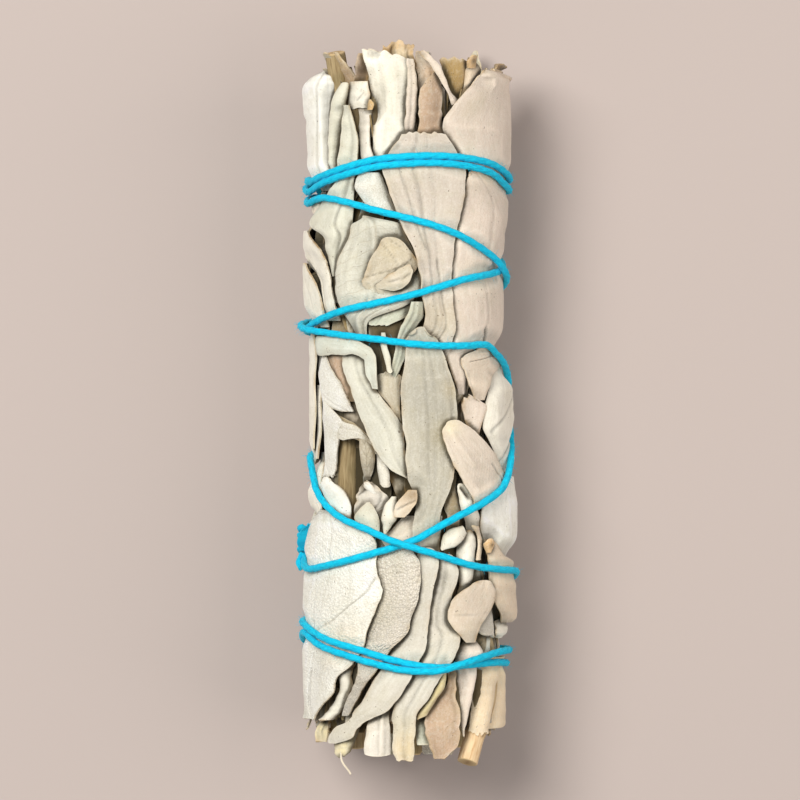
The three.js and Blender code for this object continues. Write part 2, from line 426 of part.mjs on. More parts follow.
// ---- Packed inner leaves --------------------------------------------------------------------------
function packedCore(sprig) {
  const length = coreEnds[1] - coreEnds[0];
  let outline;
  if (sprig === sprigsRound + 1) {
    outline = Array.from({ length: 18 }, (_, i) => [(i * Math.PI) / 9, middleRadius]);
  } else {
    const middle = ((sprig - 1) * 2 * Math.PI) / sprigsRound;
    const edge = (radius) => Math.PI / sprigsRound - Math.asin(clearance / 2 / radius);
    const inner = middleRadius + clearance;
    const arc = (radius, count) => Array.from({ length: count + 1 }, (_, i) => (
      [middle + edge(radius) * (1 - (2 * i) / count), radius]
    ));
    outline = [...arc(coreRadius, 4), ...arc(inner, 3).reverse()];
  }
  const shape = new THREE.Shape(outline.map(([angle, radius]) => (
    new THREE.Vector2(radius * Math.sin(angle), radius * Math.cos(angle))
  )));
  const block = new THREE.ExtrudeGeometry(shape, { depth: length, bevelEnabled: false });
  block.rotateX(Math.PI / 2).translate(0, coreEnds[1], axisHeight);
  return makeSolid(block);
}

// ---- Leaves ---------------------------------------------------------------------------------------
// How high the bundle has grown so far, and which sprig is on top, on a grid round and along it.
const cellsRound = 240;
const cellLength = 0.5;
const gridStart = -55;
const cellsAlong = Math.round((-2 * gridStart) / cellLength);
const near = { turn: 0.07, shift: 0.8 }; // what a point of a blade lies on: radians, millimetres
const heights = new Float32Array(cellsRound * cellsAlong);
const owners = new Int8Array(cellsRound * cellsAlong);

function cellAt(angle, y) {
  const turn = ((angle / (2 * Math.PI)) % 1 + 1) % 1;
  const column = Math.floor(turn * cellsRound) % cellsRound;
  const row = THREE.MathUtils.clamp(Math.floor((y - gridStart) / cellLength), 0, cellsAlong - 1);
  return row * cellsRound + column;
}

function sprigAt(angle) {
  const turn = ((angle / (2 * Math.PI)) % 1 + 1) % 1;
  return (Math.round(turn * sprigsRound) % sprigsRound) + 1;
}

function startGrid() {
  for (let row = 0; row < cellsAlong; row += 1) {
    const y = gridStart + (row + 0.5) * cellLength;
    if (y < coreEnds[0] || y > coreEnds[1]) continue;
    for (let column = 0; column < cellsRound; column += 1) {
      const angle = ((column + 0.5) / cellsRound) * 2 * Math.PI;
      heights[row * cellsRound + column] = coreRadius;
      owners[row * cellsRound + column] = sprigAt(angle);
    }
  }
}

// The underside of a blade that grows from this sprig and lies here on all that is below it.
function supportAt(angle, y, sprig) {
  let support = 0;
  for (const turn of [-near.turn, 0, near.turn]) {
    for (const shift of [-near.shift, 0, near.shift]) {
      const cell = cellAt(angle + turn, y + shift);
      if (heights[cell] > 0) {
        const step = owners[cell] === sprig ? lying : clearance + 0.05;
        support = Math.max(support, heights[cell] + step);
      }
    }
  }
  return support;
}

function rungEnds(rung) {
  const [left, right] = rung.length === 3
    ? [[rung[1], rung[0]], [rung[2], rung[0]]]
    : [[rung[0], rung[1]], [rung[2], rung[3]]];
  return [left, right].map(([x, y]) => ({ angle: angleSeenAt(x, y), y }));
}

// Leaves out the rungs whose ends lie on the line between their neighbours' ends.
function neededRungs(pairs) {
  const kept = [...pairs];
  const flat = (end) => new THREE.Vector2(end.angle * topRadius, end.y);
  const strays = (j) => Math.max(...[0, 1].map((side) => {
    const [a, b, c] = [kept[j - 1][side], kept[j][side], kept[j + 1][side]].map(flat);
    const t = THREE.MathUtils.clamp(b.clone().sub(a).dot(c.clone().sub(a)) / c.distanceToSquared(a), 0, 1);
    return b.distanceTo(a.clone().lerp(c, t));
  }));
  for (let j = kept.length - 2; j > 1; j -= 1) {
    if (strays(j) < straightEnough) kept.splice(j, 1);
  }
  return kept;
}

function layLeaf({ rungs, ends, pressed }) {
  const pairs = ends ?? neededRungs(rungs.map(rungEnds));
  const sprig = sprigAt((pairs[0][0].angle + pairs[0][1].angle) / 2);
  const rungLength = ([a, b]) => Math.hypot((b.angle - a.angle) * topRadius, b.y - a.y);
  const width = Math.max(...pairs.map(rungLength));
  const strips = THREE.MathUtils.clamp(Math.ceil(width / stripWidth), 2, mostStrips);
  const across = width < foldedWidth ? 1 : strips;
  const rows = pairs.map(([a, b]) => Array.from({ length: across + 1 }, (_, i) => {
    const angle = lerp(a.angle, b.angle, i / across);
    const y = lerp(a.y, b.y, i / across);
    return { angle, y, radius: supportAt(angle, y, sprig) };
  }));
  // Where nothing is below, a blade goes on from the rung before it; a stiff blade spans a dip.
  for (let i = 0; i <= across; i += 1) {
    rows.forEach((row, j) => {
      if (row[i].radius === 0) row[i].radius = j > 0 ? rows[j - 1][i].radius : coreRadius;
    });
    for (let pass = 0; pass < 3; pass += 1) {
      for (let j = 1; j < rows.length - 1; j += 1) {
        const span = (rows[j - 1][i].radius + rows[j + 1][i].radius) / 2 - spanSag;
        rows[j][i].radius = Math.max(rows[j][i].radius, span);
      }
    }
  }
  rows.flat().forEach((p) => {
    const outermost = bundleRadius(p.angle, p.y);
    const lowest = outermost - (pressed ? pressedLayer : lowestLayer);
    p.radius = THREE.MathUtils.clamp(p.radius, lowest, outermost - bladeThickness);
    if (pressed && p.y > coreEnds[0] + 2 && p.y < coreEnds[1] - 2) p.inner = coreRadius - lying;
  });
  if (!pressed) rows[0].forEach((p) => { p.radius = coreRadius - rootDepth; });
  raiseGrid(rows, sprig);
  return { sprig, rows };
}

function raiseGrid(rows, sprig) {
  const finer = 8;
  for (let j = 1; j < rows.length; j += 1) {
    for (let i = 1; i < rows[j].length; i += 1) {
      for (let n = 0; n <= finer * finer; n += 1) {
        const [u, v] = [(n % (finer + 1)) / finer, Math.floor(n / (finer + 1)) / finer];
        const mix = (key) => lerp(
          lerp(rows[j - 1][i - 1][key], rows[j - 1][i][key], u),
          lerp(rows[j][i - 1][key], rows[j][i][key], u),
          v,
        );
        const cell = cellAt(mix('angle'), mix('y'));
        const top = mix('radius') + bladeThickness;
        if (top > heights[cell]) {
          heights[cell] = top;
          owners[cell] = sprig;
        }
      }
    }
  }
}

// A blade as a closed solid, its two faces split alike; extra grows it on all sides.
function bladeSolid({ rows }, extra) {
  const [along, across] = [rows.length - 1, rows[0].length - 1];
  const sheet = new THREE.PlaneGeometry(1, 1, across, along);
  const count = sheet.attributes.position.count;
  const spread = rows.map((row) => row.map((p) => ({ ...p })));
  const push = (p, from) => {
    const [dx, dy] = [(p.angle - from.angle) * topRadius, p.y - from.y];
    const far = Math.max(Math.hypot(dx, dy), 0.01);
    return [(dx / far) * (extra / topRadius), (dy / far) * extra];
  };
  const move = (p, [turn, shift]) => {
    p.angle += turn;
    p.y += shift;
  };
  if (extra > 0) {
    rows.forEach((row, j) => {
      move(spread[j][0], push(row[0], row[1]));
      move(spread[j][across], push(row[across], row[across - 1]));
    });
    rows[0].forEach((p, i) => move(spread[0][i], push(p, rows[1][i])));
    rows[along].forEach((p, i) => move(spread[along][i], push(p, rows[along - 1][i])));
  }
  const flat = spread.flat();
  const points = [
    ...flat.map((p) => around(p.angle, p.y, (p.inner ?? p.radius) - extra)),
    ...flat.map((p) => around(p.angle, p.y, p.radius + bladeThickness + extra)),
  ];
  const faces = [];
  const grid = sheet.index.array;
  for (let n = 0; n < grid.length; n += 3) {
    const [a, b, c] = [grid[n], grid[n + 1], grid[n + 2]];
    faces.push(a, c, b, a + count, b + count, c + count);
  }
  const wide = across + 1;
  const rim = [];
  for (let i = 0; i < across; i += 1) rim.push(i);
  for (let j = 0; j < along; j += 1) rim.push(j * wide + across);
  for (let i = across; i > 0; i -= 1) rim.push(along * wide + i);
  for (let j = along; j > 0; j -= 1) rim.push(j * wide);
  rim.forEach((a, n) => {
    const b = rim[(n + 1) % rim.length];
    faces.push(b, a, a + count, b, a + count, b + count);
  });
  const geometry = new THREE.BufferGeometry().setFromPoints(points);
  geometry.setIndex(faces);
  let solid = makeSolid(geometry);
  if (solid.volume() < 0) {
    geometry.setIndex(faces.map((_, n) => faces[n - (n % 3) + [0, 2, 1][n % 3]]));
    solid = makeSolid(geometry);
  }
  return solid;
}

// Leaf ends that stand out of the packed leaves at both ends of the bundle, in curved layers.
function endBlade(sprig, end, ring) {
  const outer = sprig <= sprigsRound;
  const { halfTurns, middleHalfTurns, turn, lengths, lean, ragged, rootLength } = endLeaves;
  const outwards = Math.sign(end);
  const middle = outer ? (360 * (sprig - 1)) / sprigsRound + draw(-turn, turn) : draw(0, 360);
  const half = radians(draw(...(outer ? halfTurns : middleHalfTurns)));
  const tip = end + outwards * draw(...lengths);
  const leaning = draw(-lean, lean);
  const rows = [end - outwards * rootLength, (end + tip) / 2, tip].map((y, j) => [-1, 0, 1].map((u) => ({
    angle: radians(middle) + u * half * (1 - endLeaves.narrowing * j),
    y: y + (j === 2 ? u * draw(-ragged, ragged) : 0),
    radius: ring - bladeThickness / 2 + leaning * u + endLeaves.spreading * j,
  })));
  return { sprig, rows };
}

function endBlades() {
  const blades = [];
  for (let sprig = 1; sprig <= sprigsRound + 1; sprig += 1) {
    const rings = sprig <= sprigsRound ? endLeaves.rings : endLeaves.middleRings;
    coreEnds.forEach((end) => rings.forEach((ring) => blades.push(endBlade(sprig, end, ring))));
  }
  return blades;
}

// The leaves on the underside, laid by rule.
function undersideLeaves() {
  const leaves = [];
  const { from, to, columns, rows, turn, shift, lengths, halfWidths, lean, reach } = underside;
  rows.forEach((y, n) => {
    for (let column = 0; column < columns; column += 1) {
      const middle = lerp(from, to, (column + 0.25 + 0.5 * (n % 2)) / columns) + draw(-turn, turn);
      const long = draw(...lengths);
      const half = draw(...halfWidths) / topRadius;
      const leaning = radians(draw(-lean, lean));
      const way = draw(0, 1) > 0.4 ? 1 : -1; // most of them point to the leafy end
      const furthest = reach - long / 2;
      const place = THREE.MathUtils.clamp(y + draw(-shift, shift), -furthest, furthest);
      leaves.push(plainLeaf(radians(middle), place, way * long, half, leaning));
    }
  });
  restLeaves.places.forEach(([y, long]) => {
    const leaning = radians(draw(-restLeaves.lean, restLeaves.lean));
    leaves.push(plainLeaf(radians(restLeaves.angle), y, long, restLeaves.half / topRadius, leaning));
  });
  return leaves;
}

function plainLeaf(angle, y, long, half, lean) {
  const ends = leafOutline.map(([t, width]) => {
    const centre = angle + lean * (t - 0.5);
    return [-1, 1].map((side) => ({ angle: centre + side * half * width, y: y + (t - 0.5) * long }));
  });
  return { ends, pressed: true };
}

// ---- Putting the bundle together ------------------------------------------------------------------
// Each piece is cut clear of the ones laid over it that belong to another sprig.
function leafNodes(stemRooms) {
  startGrid();
  const laid = [...endBlades(), ...undersideLeaves().map(layLeaf), ...placedLeaves.map(layLeaf)];
  const pieces = laid.map((leaf) => ({
    sprig: leaf.sprig,
    solid: bladeSolid(leaf, 0),
    room: bladeSolid(leaf, clearance),
  }));
  for (let sprig = sprigsRound + 1; sprig >= 1; sprig -= 1) {
    pieces.unshift({ sprig, solid: packedCore(sprig) });
  }
  pieces.forEach((piece, i) => {
    pieces.slice(i + 1).forEach((above) => {
      if (above.room && above.sprig !== piece.sprig && boxesMeet(piece.solid, above.room)) {
        piece.solid = piece.solid.subtract(above.room);
      }
    });
  });
  const ground = new THREE.BoxGeometry(60, 160, 20).translate(0, 0, -10);
  const rooms = [...stemRooms, ...stringRoom(), makeSolid(ground)];
  const nodes = [];
  for (let sprig = 1; sprig <= sprigsRound + 1; sprig += 1) {
    let solid = pieces.filter((piece) => piece.sprig === sprig)
      .map((piece) => piece.solid)
      .reduce((whole, blade) => whole.add(blade));
    rooms.forEach((room) => {
      if (boxesMeet(solid, room)) solid = solid.subtract(room);
    });
    nodes.push(wholeBody(solid));
  }
  return nodes;
}

const sage = new THREE.Group();

function addPiece(name, solid, colour, roughness) {
  const material = new THREE.MeshStandardMaterial({ color: colour, roughness, metalness: 0 });
  const mesh = new THREE.Mesh(makeGeometry(solid), material);
  mesh.name = name;
  sage.add(mesh);
}

leafNodes(stems.map((stem) => makeStem(stem, clearance))).forEach((solid, i) => {
  addPiece(`sprig_${i + 1}_leaves`, solid, colours.leaf, 0.95);
});
stems.forEach((stem, i) => addPiece(`sprig_${i + 1}_stem`, makeStem(stem, 0), colours.stem, 0.8));
addPiece('twine', makeString(), colours.string, 0.9);

export default sage;
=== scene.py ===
# %% [markdown]
# # A small bundle of dried white sage
# Seven leafy sprigs are laid side by side, pressed into a cylinder and wound with one length of dyed
# cotton string. The leaves are thin, felted and very pale, with golden rims; the string is turquoise.
# The bundle lies on a pale floor with its leafy end away from us and is seen from straight above.
#
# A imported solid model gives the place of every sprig, stem and strand. Here each of those solids is
# replaced by a finer piece that keeps its form: leaves as thin sheets laid over one another, stems
# with bark and pith, and a string twisted from three plies.

# %% Load the solid model
import math

import bpy
import numpy as np
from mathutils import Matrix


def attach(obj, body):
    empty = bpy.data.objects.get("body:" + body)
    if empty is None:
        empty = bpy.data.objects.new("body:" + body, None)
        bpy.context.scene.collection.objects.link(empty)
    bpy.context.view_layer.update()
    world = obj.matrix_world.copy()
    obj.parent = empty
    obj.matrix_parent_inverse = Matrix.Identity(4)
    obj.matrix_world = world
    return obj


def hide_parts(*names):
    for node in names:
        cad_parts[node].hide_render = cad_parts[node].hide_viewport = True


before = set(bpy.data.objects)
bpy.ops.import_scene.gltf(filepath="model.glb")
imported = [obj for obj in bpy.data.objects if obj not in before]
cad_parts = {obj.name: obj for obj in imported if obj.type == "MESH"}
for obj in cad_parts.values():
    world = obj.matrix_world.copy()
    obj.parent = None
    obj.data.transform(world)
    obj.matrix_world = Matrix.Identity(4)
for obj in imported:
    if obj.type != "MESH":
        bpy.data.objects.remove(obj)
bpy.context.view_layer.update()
MM = 0.001

# %% [markdown]
# ## The form of the bundle
# The bundle is a cylinder that is a little wider at some places than at others. Every leaf and strand
# is placed on it by a turn round its axis and a place along it, which is how one would wrap it: a
# drawing seen from above would squash the leaves at the flanks. The axis lies along Y.

# %% Dimensions, in millimetres
AXIS_HEIGHT = 13.9
FLOOR_GAP = 0.02
TOP_RADIUS = 14.6
LEFT_FLANK = [[-50, 14.8], [-30, 15], [-20, 14.7], [-10, 13.9], [6, 14], [16, 14.9], [24, 14.8],
              [29, 14.2], [35, 14.3], [42, 14.9], [50, 15]]
RIGHT_FLANK = [[-50, 13.7], [-37, 13.9], [-30, 15.4], [-14, 15.5], [-5, 14.6], [2, 14.4], [7, 13.4],
               [12, 13.5], [19, 13.5], [26, 14.2], [32, 14.5], [50, 14.7]]
CORE_RADIUS = 10.6  # the dark tightly packed inside, seen only in the deepest gaps: olive-brown leaf made near black as painted shade
MIDDLE_RADIUS = 4.5
SPRIGS_ROUND = 6
BODY_ENDS = (-44.0, 44.5)
TURN = 2 * math.pi


def read_table(table, y):
    return np.interp(y, [row[0] for row in table], [row[1] for row in table])


def bundle_radius(angle, y):
    side = np.sin(angle)
    flank = np.where(side > 0, read_table(RIGHT_FLANK, y), read_table(LEFT_FLANK, y))
    return TOP_RADIUS + (flank - TOP_RADIUS) * np.abs(side)


def above_ground(radius, angle, thickness):
    """The radius, or less where that would reach below the floor."""
    return np.minimum(radius, (AXIS_HEIGHT - thickness) / np.maximum(-np.cos(angle), 0.01))


def around(angle, y, radius):
    """Points in metres from turns round the axis (0 is up, + towards +X), places and radii in mm."""
    x, z = radius * np.sin(angle), AXIS_HEIGHT + radius * np.cos(angle)
    return np.stack([x, y * np.ones_like(x), z], axis=-1) * MM


def unroll(x, y, outer_side):
    """Where a point seen from above lies on the bundle's skin, as mm round it and mm along it.

    A leaf's outer edge that is seen at the flank really ends below it, so it is carried on round.
    """
    flank = np.where(x > 0, read_table(RIGHT_FLANK, y), read_table(LEFT_FLANK, y))
    share = np.abs(x) / flank
    carried = np.where(x * outer_side > 0, 0.5 * smooth_step((share - 0.91) / 0.06), 0)
    turn = np.sign(x) * (np.arcsin(np.minimum(share, 1)) + np.maximum(share - 1, 0) + carried)
    return np.stack([turn * TOP_RADIUS, y * np.ones_like(turn)], axis=-1)


print("the bundle is", 2 * TOP_RADIUS, "mm thick before the string is wound")

# %% [markdown]
# ## Two small tools: curves and noise
# A curve through a few chosen points keeps an outline short to write and smooth to look at. Value
# noise, a smooth random surface worked out from a formula, gives the small unevenness of things that
# grew. Both are plain arithmetic, so they give the same result each time.

# %% Curves and noise
def curve_through(knots, values, at):
    """A smooth curve through values at knots, read at other places (cubic Hermite)."""
    values = np.asarray(values, float)
    knots = np.asarray(knots, float)
    slopes = np.empty_like(values)
    gaps = np.diff(knots)[:, None]
    steps = np.diff(values, axis=0) / gaps
    slopes[0], slopes[-1] = steps[0], steps[-1]
    slopes[1:-1] = (values[2:] - values[:-2]) / (knots[2:] - knots[:-2])[:, None]
    i = np.clip(np.searchsorted(knots, at, side="right") - 1, 0, len(knots) - 2)
    gap = gaps[i]
    t = ((at - knots[i]) / gap[:, 0])[:, None]
    return (
        (2 * t**3 - 3 * t**2 + 1) * values[i] + (t**3 - 2 * t**2 + t) * gap * slopes[i]
        + (3 * t**2 - 2 * t**3) * values[i + 1] + (t**3 - t**2) * gap * slopes[i + 1]
    )


def lattice(i, j, salt):
    value = np.sin(i * 127.1 + j * 311.7 + salt * 74.7) * 43758.5453
    return value - np.floor(value)


def noise(x, y, salt=0):
    """Smooth random hills from -1 to 1, about one unit apart."""
    i, j = np.floor(x), np.floor(y)
    u, v = x - i, y - j
    u, v = u * u * (3 - 2 * u), v * v * (3 - 2 * v)
    near = lattice(i, j, salt) * (1 - u) + lattice(i + 1, j, salt) * u
    far = lattice(i, j + 1, salt) * (1 - u) + lattice(i + 1, j + 1, salt) * u
    return 2 * (near * (1 - v) + far * v) - 1


def smooth_step(t):
    t = np.clip(t, 0, 1)
    return t * t * (3 - 2 * t)


SEED = 11
random = np.random.default_rng(SEED)
print("curve and noise ready")

# %% [markdown]
# ## The colours
# Dried white sage is the grey-cream of felt; old leaves and their backs turn olive, tan and golden
# brown. Colours are written as the sRGB hex values one would pick by eye, and one function turns them
# to the linear numbers that the shaders work in.

# %% Colours
HUES = {
    "white": "#fbfaf1", "cool_white": "#e2eee7", "cream": "#efeadb", "dull_cream": "#e0d8cb",
    "olive_white": "#d8d6c4", "green_white": "#cfcdbe", "stone": "#b8b3a3", "green": "#c6cab6",
    "grey_white": "#cbc5b7", "pink": "#dfcfbf", "dull_pink": "#c8bcae", "peach_white": "#e2d3c1",
    "peach": "#dfcbb0", "suede": "#bd9f83", "suede_light": "#dac9b4", "tan_cream": "#c6bba4",
    "grey_tan": "#b3aa95", "yellow": "#ddd0a6", "gold_pale": "#efd8b4", "yellow_olive": "#c9b985",
    "tan": "#b59a6c", "olive": "#a88a52", "taupe": "#a08d6c", "gold": "#cfa765",
    "gold_light": "#e0b67c", "brown": "#8d6f47", "inner": "#8c7c59", "inner_dark": "#5d4f36",
}


def linear(code):
    """An sRGB hex colour as linear red, green and blue."""
    parts = [int(code[i:i + 2], 16) / 255 for i in (1, 3, 5)]
    return tuple(c / 12.92 if c <= 0.04045 else ((c + 0.055) / 1.055) ** 2.4 for c in parts)


print(len(HUES), "leaf colours")

# %% [markdown]
# ## The leaves one by one
# The leaves that face up are placed one by one. Each is written as a ladder of rungs from its root to
# its tip, as seen from above: [y, left x, right x] for a level rung and [left x, left y, right x,
# right y] for a slanting one. Words after it say how the leaf has dried: how far its sides have rolled
# down (roll, in degrees, minus for a leaf that cups up), how tall that arch is, where it is creased
# (folds: place across, height, width), how its ends are cut or torn, how golden its rim is, and how
# wavy its edge. They are laid in this order, each over the ones before it.

# %% Leaf table
def leaf(name, rungs, **looks):
    return {"name": name, "rungs": rungs, **looks}


